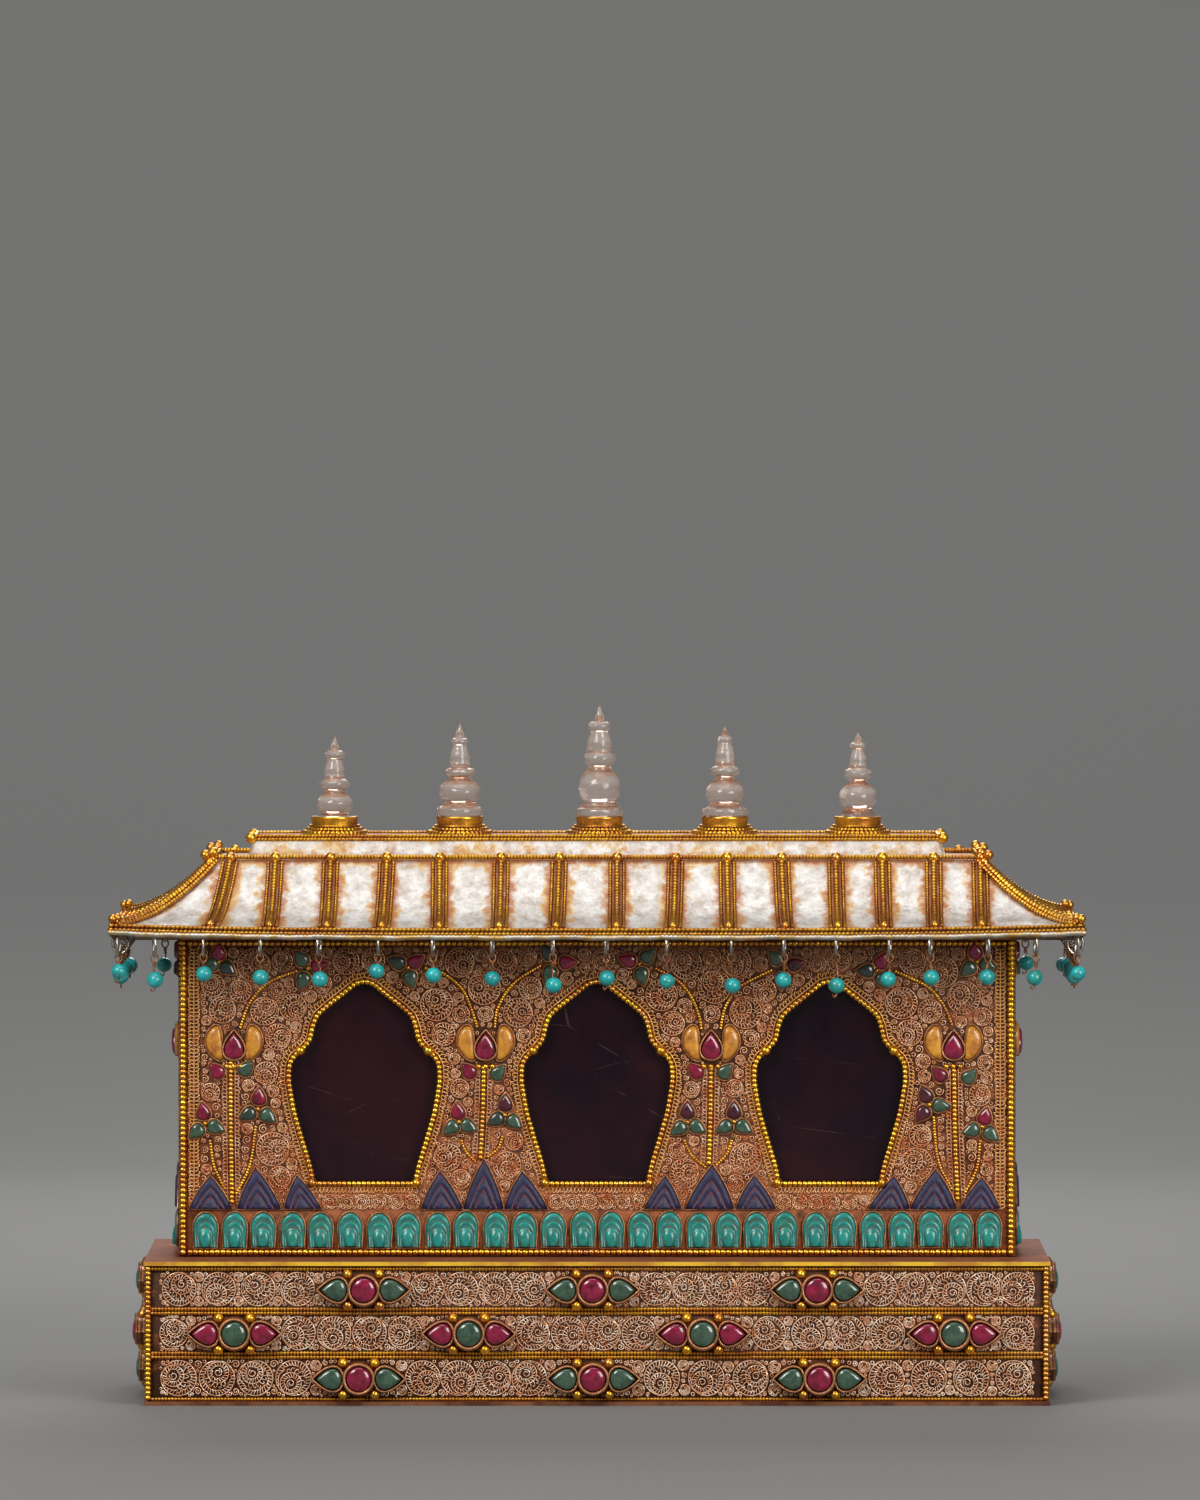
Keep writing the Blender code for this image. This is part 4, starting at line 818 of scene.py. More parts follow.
    def triangle(self, left, apex, right, top):
        """A lapis triangle with nested grooves, in a bezel."""
        foot = TRIANGLES_FOOT_Z
        outline = triangle_outline(1.0, 1.0)
        share = outline[:, 1]
        middle = (left + right) / 2
        u = middle + outline[:, 0] * (right - left) + (apex - middle) * share
        outline = np.column_stack([u, foot + outline[:, 1] * (top - foot)])
        layers = [(1.0, 0.0), (0.98, 1.2 * MM), (0.90, 1.6 * MM), (0.70, 1.75 * MM), (0.66, 1.25 * MM),
                  (0.60, 1.75 * MM), (0.42, 1.85 * MM), (0.38, 1.35 * MM), (0.32, 1.85 * MM)]
        tones = np.array((0.0, 0.5, 1.0, 1.0, 0.0, 0.9, 1.0, 0.0, 1.0))
        focus = (middle, foot + 0.03 * (top - foot))
        layered(self.parts["stones"], self.side, outline, layers, focus, tones, LAPIS)
        heart = outline.mean(axis=0)
        bezel(self.parts["bezels"], self.side, heart + (outline - heart) * 1.06, 0.38 * MM, 0.5 * MM)
        self.field.area(outline, 0.6 * MM)

    def cluster(self, centre, round_kind, drop_kind):
        """A round stone in a thick bezel, with four balls and two drops about it, all standing proud."""
        stones, bezels, side = self.parts["stones"], self.parts["bezels"], self.side
        rim = moved(round_outline(CLUSTER_RIM, 24), centre)
        layers = [(0.99, 1.2 * MM), (1.0, 1.5 * MM), (0.96, 2.0 * MM), (0.88, 2.1 * MM), (0.80, 1.7 * MM),
                  (0.76, 0.5 * MM)]
        # Low tones at the rim's foot and inner edge, where the copper finish paints shade
        layered(bezels, side, rim, layers, centre, np.array((0.3, 0.9, 1.0, 1.0, 0.6, 0.0)))
        collar(bezels, side, rim, 1.4 * MM)
        stone = moved(round_outline(CLUSTER_STONE, 24), centre)
        dome(stones, side, stone, 2.3 * MM, 0.45 * MM, round_kind, rings=7, fullness=0.8)
        for hand in (-1, 1):
            tilt = -hand * math.pi / 2
            place = (centre[0] + hand * (DROP_REACH - 0.5 * MM), centre[1])
            drop = moved(drop_outline(*DROP_SIZE, 24, 0.9), place, tilt)
            dome(stones, side, drop, 2.4 * MM, STONE_FOOT, drop_kind, rings=6)
            place = (centre[0] + hand * DROP_REACH, centre[1])
            edge = moved(drop_outline(*DROP_BEZEL, 20, 1.1), place, tilt)
            bezel(bezels, side, edge, 0.5 * MM, 0.9 * MM)
            for height in (-1, 1):
                place = np.array((*centre, 0.0)) + np.array(CLUSTER_BALL_PLACE) * (hand, height, 1)
                large_ball(self.parts["balls"], self.wall.place(place), CLUSTER_BALL)


def wall_field(half_width, foot):
    """The room within the border of one wall of the house."""
    return Field((-half_width + BORDER, foot), (half_width - BORDER, HOUSE_HIGH.z - HEAD_BORDER))


def house_front(parts):
    """The inlay and the filigree of the front wall."""
    side = Side("front", HOUSE_FACE_Y)
    field = wall_field(HALF_HOUSE, PETALS_FOOT_Z)
    inlay = Inlay("front", HOUSE_FACE_Y, field, parts)
    for middle in WINDOW_MIDDLES:
        outline = window_outline(middle)
        frame_line = lifted(side, outline, 0.9 * MM)
        beaded(parts["beaded_wires"], frame_line, 1.8 * MM, 1.2 * MM, 7, 3, closed=True, normal=side.out)
        along = directions(outline, True)
        out = np.column_stack([along[:, 1], -along[:, 0]])
        edge = (outline + out * 1.5 * MM)[::-1]
        fern(parts["front_filigree"], side, edge, FERN_REACH, both=False, closed=True)
        field.area(outline, 3.7 * MM)
        for hand in (-1, 1):
            for u, v, size in (CUSP, FRAME_FOOT):
                place = (middle + hand * u * MM, SILL_Z + v * MM, 1.4 * MM)
                large_ball(parts["balls"], side.place(place), size * MM)
    inlay.petals(HALF_HOUSE, 28)
    for left, apex, right, row in TRIANGLES:
        tip = spot(apex, row)
        inlay.triangle(spot(left, row)[0] + 0.5 * MM, tip[0], spot(right, row)[0] - 0.5 * MM, tip[1])
    for points in THICK_STEMS:
        path = [spot(*point) for point in points]
        inlay.stem(path, *THICK_STEM)
        for hand in (-1, 1):
            edge = smooth_path([p + (hand * 1.5 * MM, 0) for p in path], 1 * MM)
            edge = edge[::-1] if hand < 0 else edge
            fern(parts["front_filigree"], side, edge, 2.0 * MM, both=False, tone=PLAIN)
            field.path([p + (hand * 2.6 * MM, 0) for p in path], 2.2 * MM)
    for points in LOW_STEMS + HIGH_STEMS:
        inlay.stem([spot(*point) for point in points], *THIN_STEM)
    for place in LOTUSES:
        inlay.lotus(spot(*place))
    for leaves in TRIPLETS:
        inlay.triplet([(kind, *spot(u, v)) for kind, u, v in leaves])
    for red, green in LEAF_PAIRS:
        inlay.leaf(RUBY, spot(*red), 0.75)
        inlay.leaf(JADE, spot(*green), -0.75)
    for hand in (-1, 1):
        edge = HALF_HOUSE - 5.7 * MM
        path = np.array([(hand * edge, TRIANGLES_FOOT_Z), (hand * edge, HOUSE_HIGH.z - 4 * MM)])
        fern(parts["front_filigree"], side, path, FERN_REACH)
        field.path(path, 4.9 * MM)
    field.fill(parts["front_filigree"], side, (5.0 * MM, 6.6 * MM))
    wall_border(parts["beaded_wires"], side, HALF_HOUSE)


def wall_border(mesh, side, half_width):
    """Beaded wires up the edges of a wall of the house and along its foot and its head."""
    edge = half_width - 1.65 * MM
    for u in (-edge, edge):
        path = np.array([(u, HOUSE_LOW.z + 0.4 * MM), (u, HOUSE_HIGH.z - 0.4 * MM)])
        beaded(mesh, lifted(side, path, 0.45 * MM), 1.92 * MM, 1.5 * MM, 8, 3, jitter=0.03)
    for v, radius in ((HOUSE_LOW.z + 1.5 * MM, 1.15 * MM), (HOUSE_HIGH.z - 1.6 * MM, 1.1 * MM)):
        path = np.array([(-edge + 1.6 * MM, v), (edge - 1.6 * MM, v)])
        beaded(mesh, lifted(side, path, 0.6 * MM), 2.03 * MM, radius, 6, 3, normal=side.out, jitter=0.03)


def house_back(parts):
    """The plainer back wall: filigree in a beaded border."""
    side = Side("back", HOUSE_FACE_Y)
    field = wall_field(HALF_HOUSE, HOUSE_LOW.z + 3 * MM)
    field.fill(parts["back_filigree"], side, (8.6 * MM, 10.6 * MM), 2.3)
    wall_border(parts["beaded_wires"], side, HALF_HOUSE)


def house_sides(parts):
    """The short walls: petals, triangles and leaves over filigree."""
    for facing in ("left", "right"):
        side = Side(facing, HOUSE_FACE_X)
        field = wall_field(SIDE_REACH, PETALS_FOOT_Z)
        inlay = Inlay(facing, HOUSE_FACE_X, field, parts, SIDE_LIFT)
        inlay.petals(SIDE_REACH, 5)
        for i in (-1, 0, 1):
            top = TRIANGLES_FOOT_Z + (12.0 if i else 15.6) * MM
            inlay.triangle((i * 16.0 - 7.6) * MM, i * 16.0 * MM, (i * 16.0 + 7.6) * MM, top)
        middle = HOUSE_HIGH.z - 9.0 * MM
        for hand in (-1, 1):
            u = hand * SIDE_REACH / 2
            inlay.triplet(((RUBY, u, middle + 4 * MM), (JADE, u - 3.9 * MM, middle - 3 * MM),
                           (JADE, u + 3.9 * MM, middle - 3 * MM)))
        inlay.stem([(0.0, TRIANGLES_FOOT_Z + 16.5 * MM), (0.3 * MM, 110 * MM), (0.0, LOTUS_Z - 8.0 * MM)],
                   *THICK_STEM)
        inlay.lotus((0.0, LOTUS_Z))
        for hand in (-1, 1):
            inlay.stem([(hand * 3 * MM, LOTUS_Z + 7 * MM), (hand * 7 * MM, LOTUS_Z + 17 * MM),
                        (hand * 12 * MM, LOTUS_Z + 23 * MM)], *THIN_STEM)
        field.fill(parts["side_filigree"], side, (5.8 * MM, 7.4 * MM), 1.3)
        wall_border(parts["beaded_wires"], side, SIDE_REACH)


def plinth_side(parts, facing, distance, half_width, clusters, mesh_name, fine, uprights):
    """One side of the plinth: three bands of scrolls between beaded ropes, with clusters of stones."""
    side = Side(facing, distance)
    inlay = Inlay(facing, distance, None, parts, CLUSTER_LIFT)
    edge = half_width - (3.3 * MM if uprights else 0.4 * MM)
    for (low, high), row in zip(BAND_ROWS, clusters):
        stones = [u for u, _, _ in row]
        band(parts[mesh_name], side, edge, low, high, stones, HOOK_SPACING * fine)
        for u, round_kind, drop_kind in row:
            inlay.cluster((u, (low + high) / 2), round_kind, drop_kind)
    mesh = parts["beaded_ropes"]
    reach = half_width - 0.2 * MM
    strands = [(2.3, 0.75)] + [(row / MM + shift, 0.78) for row in ROPE_ROWS for shift in (-0.75, 0.75)]
    strands += [(50.3, 0.85)]
    for height, radius in strands:
        path = np.array([(-reach, height * MM), (reach, height * MM)])
        beaded(mesh, lifted(side, path, 0.8 * MM), 1.32 * MM * fine, radius * MM, 5, 2, normal=side.out)
    if uprights:
        for hand in (-1, 1):
            u = hand * (half_width + 0.95 * MM)
            path = np.array([(u, 2.0 * MM), (u, PLINTH_TOP - 1.7 * MM)])
            beaded(mesh, lifted(side, path, 0.95 * MM), 1.78 * MM, 1.35 * MM, 8, 3, jitter=0.03)


def plinth_dress(parts):
    """The filigree, ropes and stones of all four sides of the plinth."""
    front = []
    for columns, round_kind, drop_kind in CLUSTER_ROWS[::-1]:
        front.append([(spot(column, 0, PLINTH_PIXEL)[0], round_kind, drop_kind) for column in columns])
    plinth_side(parts, "front", PLINTH_FACE_Y, PLINTH_FACE_X, front, "front_filigree", 0.92, True)
    back = [[], [(side * x, JADE, RUBY) for x in (42.95 * MM, 132.2 * MM) for side in (-1, 1)], []]
    back[1].sort()
    plinth_side(parts, "back", PLINTH_FACE_Y, PLINTH_FACE_X, back, "back_filigree", 1.8, True)
    short = [[(0.0, RUBY, JADE)], [(-36 * MM, JADE, RUBY), (36 * MM, JADE, RUBY)], [(0.0, RUBY, JADE)]]
    for facing in ("left", "right"):
        plinth_side(parts, facing, PLINTH_FACE_X, PLINTH_FACE_Y, short, "side_filigree", 1.3, False)


# Plates, roof, finials and fringe

LEDGE_Z = EAVE_LOW.z + 28.8 * MM
SLOPE_FOOT_Z = EAVE_HIGH.z + 3.3 * MM
PLATFORM_Z = LEDGE_Z + 7.9 * MM
ROLL_INSET = 1.6 * MM
ROOF_HALF = np.array((ROOF_HIGH.x, ROOF_HIGH.y))
LEDGE_HALF = ROOF_HALF - np.array((38.5, 28.5)) * MM
PLATFORM_FOOT = LEDGE_HALF - 12.0 * MM
PLATFORM_TOP = PLATFORM_FOOT - 2.4 * MM
CORNER_LIFT = 1.8 * MM
FLARE = 1.7
# Columns of the front ribs at the ledge and at the eave
RIBS = [(231, 209.4), (275.8, 269.1), (331.1, 326.5), (387.2, 381.2), (439.9, 438.9), (501.3, 499),
        (559.3, 556), (617.1, 616.5), (675.5, 672.9), (726.9, 728.6), (781.3, 785.6), (835.4, 838),
        (881.8, 884.4), (933.2, 934.8), (979.6, 981.9)]
# From the lowest point of a pendant's solid up to the middle of its bead
BEAD_MIDDLE = 2.38 * MM
# Each crystal from its tip down: the row of its tip, then for each part (row, half width) or (first row,
# last row, half width), but for its throat, which is a half width only
FINIAL_PARTS = ("tip", "spike", "knop", "throat", "body", "ring", "neck", "bulb", "waist", "foot")
FINIALS = [
    (736.6, (749.6, 4.8), (750.7, 758.3, 10.6), 6.9, (773, 778.5, 10.6), (779, 788.7, 15.2), (791.5, 9.5),
     (794, 813.6, 18.4), (815, 13.3), (816.5, 19.0)),
    (723.2, (737.7, 5.0), (738.2, 744.5, 9.3), 6.9, (760, 767.6, 10.4), (768, 776.7, 15.7), (779, 10.3),
     (780.6, 803.8, 21.7), (804.8, 16.8), (807, 23.0)),
    (704.7, (721.4, 5.3), (722, 731, 11.4), 8.9, (748, 752.5, 13.1), (753, 765, 16.3), (768, 11.2),
     (770.7, 805, 21.5), (806, 18.5), (808, 23.4)),
    (725.8, (736.4, 4.2), (736.8, 743, 7.8), 6.6, (757, 765.5, 10.1), (766, 775.6, 14.9), (778.5, 9.0),
     (781.5, 805, 20.1), (806, 16.6), (808, 23.4)),
    (732.3, (742, 4.3), (742.7, 748.5, 8.7), 5.4, (762, 768, 8.9), (768.5, 779.3, 14.4), (781.5, 8.1),
     (783.7, 810.3, 19.5), (811.5, 15.5), (813, 21.0)),
]


def plate(mesh, side, low, high, holes=()):
    """A sheet under the filigree, with holes through it."""
    corners = np.array([low, (high[0], low[1]), high, (low[0], high[1])])
    loops = [corners] + [np.asarray(hole) for hole in holes]
    triangles = tessellate_polygon([[Vector((u, v, 0.0)) for u, v in loop] for loop in loops])
    flat = np.vstack(loops)
    faces = np.array([tuple(triangle) for triangle in triangles])
    a, b, c = (flat[faces[:, i]] for i in range(3))
    area = (b[:, 0] - a[:, 0]) * (c[:, 1] - a[:, 1]) - (b[:, 1] - a[:, 1]) * (c[:, 0] - a[:, 0])
    faces[area < 0] = faces[area < 0][:, ::-1]
    count = len(flat)
    outer = side.place(np.column_stack([flat, np.zeros(count)]))
    inner = side.place(np.column_stack([flat, np.full(count, -SKIN)]))
    mesh.add(np.vstack([outer, inner]), np.vstack([faces, faces[:, ::-1] + count]), 0.5)
    first = mesh.count - 2 * count
    start = 0
    for loop in loops:
        here = np.arange(len(loop)) + start
        after = np.roll(here, -1)
        hand = 1 if start == 0 else -1
        rim = np.stack([here, here + count, after + count, after], axis=1)[:, ::hand]
        mesh.faces.append((rim + first, 0))
        start += len(loop)


def plates(parts):
    """The sheets that carry the filigree on all four sides of the house and of the plinth."""
    low, high = HOUSE_LOW.z, HOUSE_HIGH.z
    windows = [window_outline(middle) for middle in WINDOW_MIDDLES]
    for facing, holes in (("front", windows), ("back", ())):
        side = Side(facing, HOUSE_FACE_Y)
        plate(parts["house_plates"], side, (-HALF_HOUSE, low), (HALF_HOUSE, high), holes)
    base, top = PLINTH_LOW.z + 1.8 * MM, PLINTH_TOP - 1.8 * MM
    for facing in ("front", "back"):
        side = Side(facing, PLINTH_FACE_Y)
        plate(parts["plinth_plates"], side, (-PLINTH_FACE_X, base), (PLINTH_FACE_X, top))
    for facing in ("left", "right"):
        plate(parts["house_plates"], Side(facing, HOUSE_FACE_X), (-SIDE_REACH, low), (SIDE_REACH, high))
        reach = PLINTH_FACE_Y - SKIN - 0.3 * MM
        plate(parts["plinth_plates"], Side(facing, PLINTH_FACE_X), (-reach, base), (reach, top))


def slope(facing, u, share, raised=0.0):
    """Points on one slope of the roof, at a place across it and a share of the way down."""
    across, out, axis = FACINGS[facing]
    foot_half = ROOF_HALF - ROLL_INSET
    half = LEDGE_HALF + (foot_half - LEDGE_HALF) * np.asarray(share)[..., None]
    rise = LEDGE_Z - SLOPE_FOOT_Z
    height = SLOPE_FOOT_Z + rise * (1.0 - share) ** FLARE
    height = height + CORNER_LIFT * share ** 2 * np.abs(u / half[..., axis]) ** 4
    run = foot_half[1 - axis] - LEDGE_HALF[1 - axis]
    lean = np.arctan2(rise * FLARE * np.maximum(1.0 - share, 0.02) ** (FLARE - 1.0), run)
    far = half[..., 1 - axis] + raised * np.sin(lean)
    height = height + raised * np.cos(lean)
    return np.stack([across[0] * u + out[0] * far, across[1] * u + out[1] * far, height], axis=-1)


def half_at(facing, share):
    """Half of a slope's width at a share of the way down."""
    axis = FACINGS[facing][2]
    return LEDGE_HALF[axis] + (ROOF_HALF[axis] - ROLL_INSET - LEDGE_HALF[axis]) * share


def rib_lines(facing):
    """Where the ribs of a slope stand at the ledge and at the eave."""
    if facing == "front":
        return [(spot(top, 0, LEDGE_PIXEL)[0], spot(foot, 0, EAVE_PIXEL)[0]) for top, foot in RIBS]
    if facing == "back":
        return [((i - 7) * 19.35 * MM, (i - 7) * 20.2 * MM) for i in range(15)]
    return [((i - 1.5) * 17.3 * MM, (i - 1.5) * 20.3 * MM) for i in range(4)]


def roof_sheets(mesh):
    """The four slopes of beaten sheet silver, a ledge, and the raised platform."""
    for facing in FACINGS:
        columns = 181 if FACINGS[facing][2] == 0 else 61
        share = np.linspace(0.0, 1.0, 22)[:, None] * np.ones(columns)
        part = np.linspace(-1.0, 1.0, columns)[None] * np.ones((22, 1))
        u = part * half_at(facing, share)
        near = [np.abs(u - (top + (foot - top) * share)) for top, foot in rib_lines(facing)]
        hips = half_at(facing, share) - np.abs(u) - 2.0 * MM
        distance = np.minimum(np.min(near, axis=0) - 2.9 * MM, hips)
        level = np.minimum(share * 38 * MM, (1 - share) * 34 * MM) + 0.4 * MM
        closeness = np.clip(1.0 - np.minimum(distance, level) / (5.0 * MM), 0.0, 1.0)
        phase = RANDOM.uniform(0.0, math.tau, 6)
        dent = (np.sin(u * 420 + phase[0]) * np.sin(share * 7 + u * 90 + phase[1])
                + 0.7 * np.sin(u * 870 + share * 5 + phase[2]) * np.sin(share * 15 + phase[3])
                + 0.5 * np.sin(u * 1500 + phase[4]) * np.sin(share * 29 + phase[5])) * 0.16 * MM
        dent = dent * np.clip(hips / (4 * MM), 0.0, 1.0) * np.clip(share * 8, 0, 1)
        outer = slope(facing, u, share, dent)
        inner = slope(facing, u, share, -1.3 * MM)
        shell(mesh, outer, inner, closeness)
    nx, ny = 140, 24
    middle = (PLATFORM_TOP[0] - PLATFORM_TOP[1] * 0.9, 0.1 * PLATFORM_TOP[1])
    levels = [(LEDGE_HALF, LEDGE_Z), (PLATFORM_FOOT, LEDGE_Z), (PLATFORM_TOP, PLATFORM_Z - 0.8 * MM),
              (PLATFORM_TOP - 0.6 * MM, PLATFORM_Z), (middle, PLATFORM_Z)]
    rings = [rectangle(half, height, nx, ny) for half, height in levels]
    tones = np.repeat((0.8, 0.6, 0.35, 0.9, 0.4), len(rings[0]))
    mesh.add(np.vstack(rings), grid_faces(len(rings), len(rings[0]), True), tones)
    lid = rings[-1]
    mesh.faces.append((cap_faces(mesh.count - len(lid), np.arange(len(lid)), 0)[1:-1], 0))
    under = [rectangle(np.asarray(half) - (0.0 if i == 0 else 1.4 * MM), height - 1.4 * MM, nx, ny)
             for i, (half, height) in enumerate(levels[:3])]
    mesh.add(np.vstack([rings[0]] + under), grid_faces(4, len(rings[0]), True)[:, ::-1], 0.2)


def shell(mesh, outer, inner, tone):
    """A thin sheet between two grids of points, closed round its rim."""
    rows, columns = outer.shape[:2]
    faces = grid_faces(rows, columns, False)
    mesh.add(outer, faces[:, ::-1], tone.ravel())
    first = mesh.count - rows * columns
    mesh.add(inner, faces, 0.2)
    second = mesh.count - rows * columns
    index = np.arange(rows * columns).reshape(rows, columns)
    rim = np.concatenate([index[0, :-1], index[:-1, -1], index[-1, :0:-1], index[:0:-1, 0]])
    after = np.roll(rim, -1)
    mesh.faces.append((np.stack([rim + first, after + first, after + second, rim + second], axis=1), 0))


def rectangle(half, height, nx, ny, inset=0.0):
    """Points round a rectangle, anticlockwise from its front left corner."""
    x, y = half[0] - inset, half[1] - inset
    along, up = np.linspace(-x, x, nx + 1), np.linspace(-y, y, ny + 1)
    sides = ((along[:-1], np.full(nx, -y)), (np.full(ny, x), up[:-1]),
             (along[:0:-1], np.full(nx, y)), (np.full(ny, -x), up[:0:-1]))
    flat = np.concatenate([np.column_stack(side) for side in sides])
    return np.column_stack([flat, np.broadcast_to(height, (len(flat),))])


def eave_lift(points):
    """How far the eave rises towards its corners."""
    share = np.minimum(np.abs(points[:, 0]) / ROOF_HALF[0], 1.0)
    other = np.minimum(np.abs(points[:, 1]) / ROOF_HALF[1], 1.0)
    on_front = np.abs(points[:, 1]) > ROOF_HALF[1] - 4 * MM
    return CORNER_LIFT * np.where(on_front, share, other) ** 4


def eave_sheet(mesh):
    """A thin plate on the walls, whose edge hangs down in an uneven lip."""
    nx, ny = 260, 90
    wave = RANDOM.uniform(0.0, math.tau, 4)
    run = np.arange(2 * (nx + ny))
    rough = (0.28 * np.sin(run * 0.21 + wave[0]) + 0.22 * np.sin(run * 0.47 + wave[1])
             + 0.15 * np.sin(run * 1.1 + wave[2]))
    rings = []
    # Each ring of the sheet and its lip: how far in, how far up, how uneven, and its tone, which is low
    # behind and under the lip, where the finish paints shade
    levels = [(9.0, 1.2, 0.0, 0.3), (2.4, 1.2, 0.0, 0.3), (0.75, 1.8, 0.5, 0.5), (0.35, 2.1, 0.5, 0.8),
              (0.25, 1.1, 0.8, 0.9), (0.6, 0.1, 1.0, 1.0), (1.1, 0.2, 1.0, 0.3), (2.4, 0.4, 0.2, 0.1),
              (9.0, 0.1, 0.0, 0.1)]
    for inset, height, loose, _ in levels:
        points = rectangle(ROOF_HALF, EAVE_LOW.z + height * MM, nx, ny, inset * MM)
        points[:, 2] += (rough * 0.55 * loose + 0.3 * loose) * MM
        if loose >= 0.5:
            points[:, 2] += eave_lift(points)
        rings.append(points)
    tones = np.repeat([tone for _, _, _, tone in levels], len(rings[0]))
    mesh.add(np.vstack(rings), grid_faces(len(rings), len(rings[0]), True)[:, ::-1], tones)
    for level, flip in ((0, 1), (len(rings) - 1, -1)):
        half = (ROOF_HALF[0] - ROOF_HALF[1] * 0.9, 0.1 * ROOF_HALF[1])
        middle = rectangle(half, rings[level][0, 2], nx, ny)
        faces = grid_faces(2, len(middle), True)[:, ::flip]
        mesh.add(np.vstack([rings[level], middle]), faces, 0.2)
        lid = cap_faces(mesh.count - len(middle), np.arange(len(middle)), 0)[1:-1][:, ::flip]
        mesh.faces.append((lid, 0))


def eave_beads(mesh, balls):
    """The double row of beads round the eave, and the balls at its corners."""
    for inset, drop in ((1.3, 0.0), (0.95, 1.55)):
        path = rectangle(ROOF_HALF, SLOPE_FOOT_Z - 0.35 * MM - drop * MM, 60, 20, inset * MM)
        path[:, 2] += eave_lift(path)
        beaded(mesh, path, 1.6 * MM, 0.86 * MM, 5, 2, closed=True)
    for sx, sy in CORNERS:
        for share, raised in ((0.985, 1.9), (0.94, 2.3)):
            large_ball(balls, hip_point(sx, sy, share) + (0, 0, raised * MM), 1.7 * MM)
        ledge = hip_point(sx, sy, 0.0)
        for dx, dz, size in ((3.0, 1.9, 1.9), (1.4, -0.7, 1.8), (0.2, 2.8, 1.9)):
            large_ball(balls, ledge + (sx * dx * MM, sy * dx * 0.7 * MM, dz * MM), size * MM)
        top = (sx * (PLATFORM_TOP[0] + 1 * MM), sy * PLATFORM_TOP[1], PLATFORM_Z - 0.3 * MM)
        large_ball(balls, top, 2.1 * MM)


def hip_point(sx, sy, share):
    """A point on the roof's hip."""
    half = LEDGE_HALF + (ROOF_HALF - ROLL_INSET - LEDGE_HALF) * share
    height = SLOPE_FOOT_Z + (LEDGE_Z - SLOPE_FOOT_Z) * (1 - share) ** FLARE + CORNER_LIFT * share ** 2
    return np.array((sx * half[0], sy * half[1], height))


def ribs(mesh, balls):
    """Ribs of three beaded wires down each slope, wires down the hips, and round the ledge and platform."""
    for facing in FACINGS:
        coarse = {"front": 1.0, "back": 1.7}.get(facing, 1.3)
        share = np.linspace(0.02, 0.965, 14)
        for top, foot in rib_lines(facing):
            u = top + (foot - top) * share
            line = slope(facing, u, share, 0.9 * MM)
            beaded(mesh, line, 1.36 * MM * coarse, 1.42 * MM, 6, 2, jitter=0.05)
            for shift in (-2.5, 2.5):
                line = slope(facing, u + shift * MM, share, 0.35 * MM)
                beaded(mesh, line, 1.25 * MM * coarse, 0.86 * MM, 4, 2, jitter=0.05)
            places = np.array((0.0, 0.95))
            ends = slope(facing, top + (foot - top) * places, places, 1.0 * MM)
            large_ball(balls, ends[0] + (0, 0, 0.5 * MM), 1.95 * MM)
            ball(balls, ends[1], 1.5 * MM)
    for sx, sy in CORNERS:
        line = np.array([hip_point(sx, sy, share) for share in np.linspace(0.0, 0.97, 16)])
        run = (ROOF_HALF - ROLL_INSET - LEDGE_HALF) * (sx, sy)
        wide = np.array((-run[1], run[0], 0.0)) / np.hypot(*run)
        beaded(mesh, line + (0, 0, 0.9 * MM), 1.45 * MM, 1.45 * MM, 7, 2, jitter=0.04)
        for hand in (-1, 1):
            edge = line + wide * hand * 2.2 * MM + (0, 0, 0.1 * MM)
            beaded(mesh, edge, 1.3 * MM, 1.0 * MM, 5, 2, jitter=0.04)
    ledge = rectangle(LEDGE_HALF, LEDGE_Z + 1.0 * MM, 40, 10, 0.4 * MM)
    beaded(mesh, ledge, 1.2 * MM, 1.25 * MM, 6, 2, closed=True, jitter=0.04)
    for rise, inset, size in ((0.55, 0.4, 0.82), (-0.75, 0.0, 0.88)):
        top = rectangle(PLATFORM_TOP, PLATFORM_Z + (rise - 0.2) * MM, 40, 10, inset * MM)
        beaded(mesh, top, 1.3 * MM, size * MM, 5, 2, closed=True, jitter=0.04)


def lathe(mesh, outline, centre, sides, tones):
    """Turns an outline of (radius, height), from its foot up, about an upright axis."""
    outline = np.asarray(outline, dtype=float)
    turn = math.tau * np.arange(sides) / sides
    radius = np.maximum(outline[:, 0], 0.02 * MM)
    points = np.stack([centre[0] + radius[:, None] * np.cos(turn), centre[1] + radius[:, None] * np.sin(turn),
                       np.broadcast_to(outline[:, 1:2], (len(outline), sides))], axis=-1)
    mesh.add(points, grid_faces(len(outline), sides, True), np.repeat(tones, sides))
    ring = np.arange(sides)
    first = mesh.count - len(outline) * sides
    mesh.faces.append((ring[None, ::-1] + first, 0))
    mesh.faces.append((ring[None] + first + (len(outline) - 1) * sides, 0))


# Radius, height, bead size and pitch of the collars about a cup's foot, in millimetres
CUP_COLLARS = ((11.5, 0.85, 0.95, 1.75), (9.9, 2.1, 0.8, 1.5), (9.15, 3.3, 0.5, 1.0))


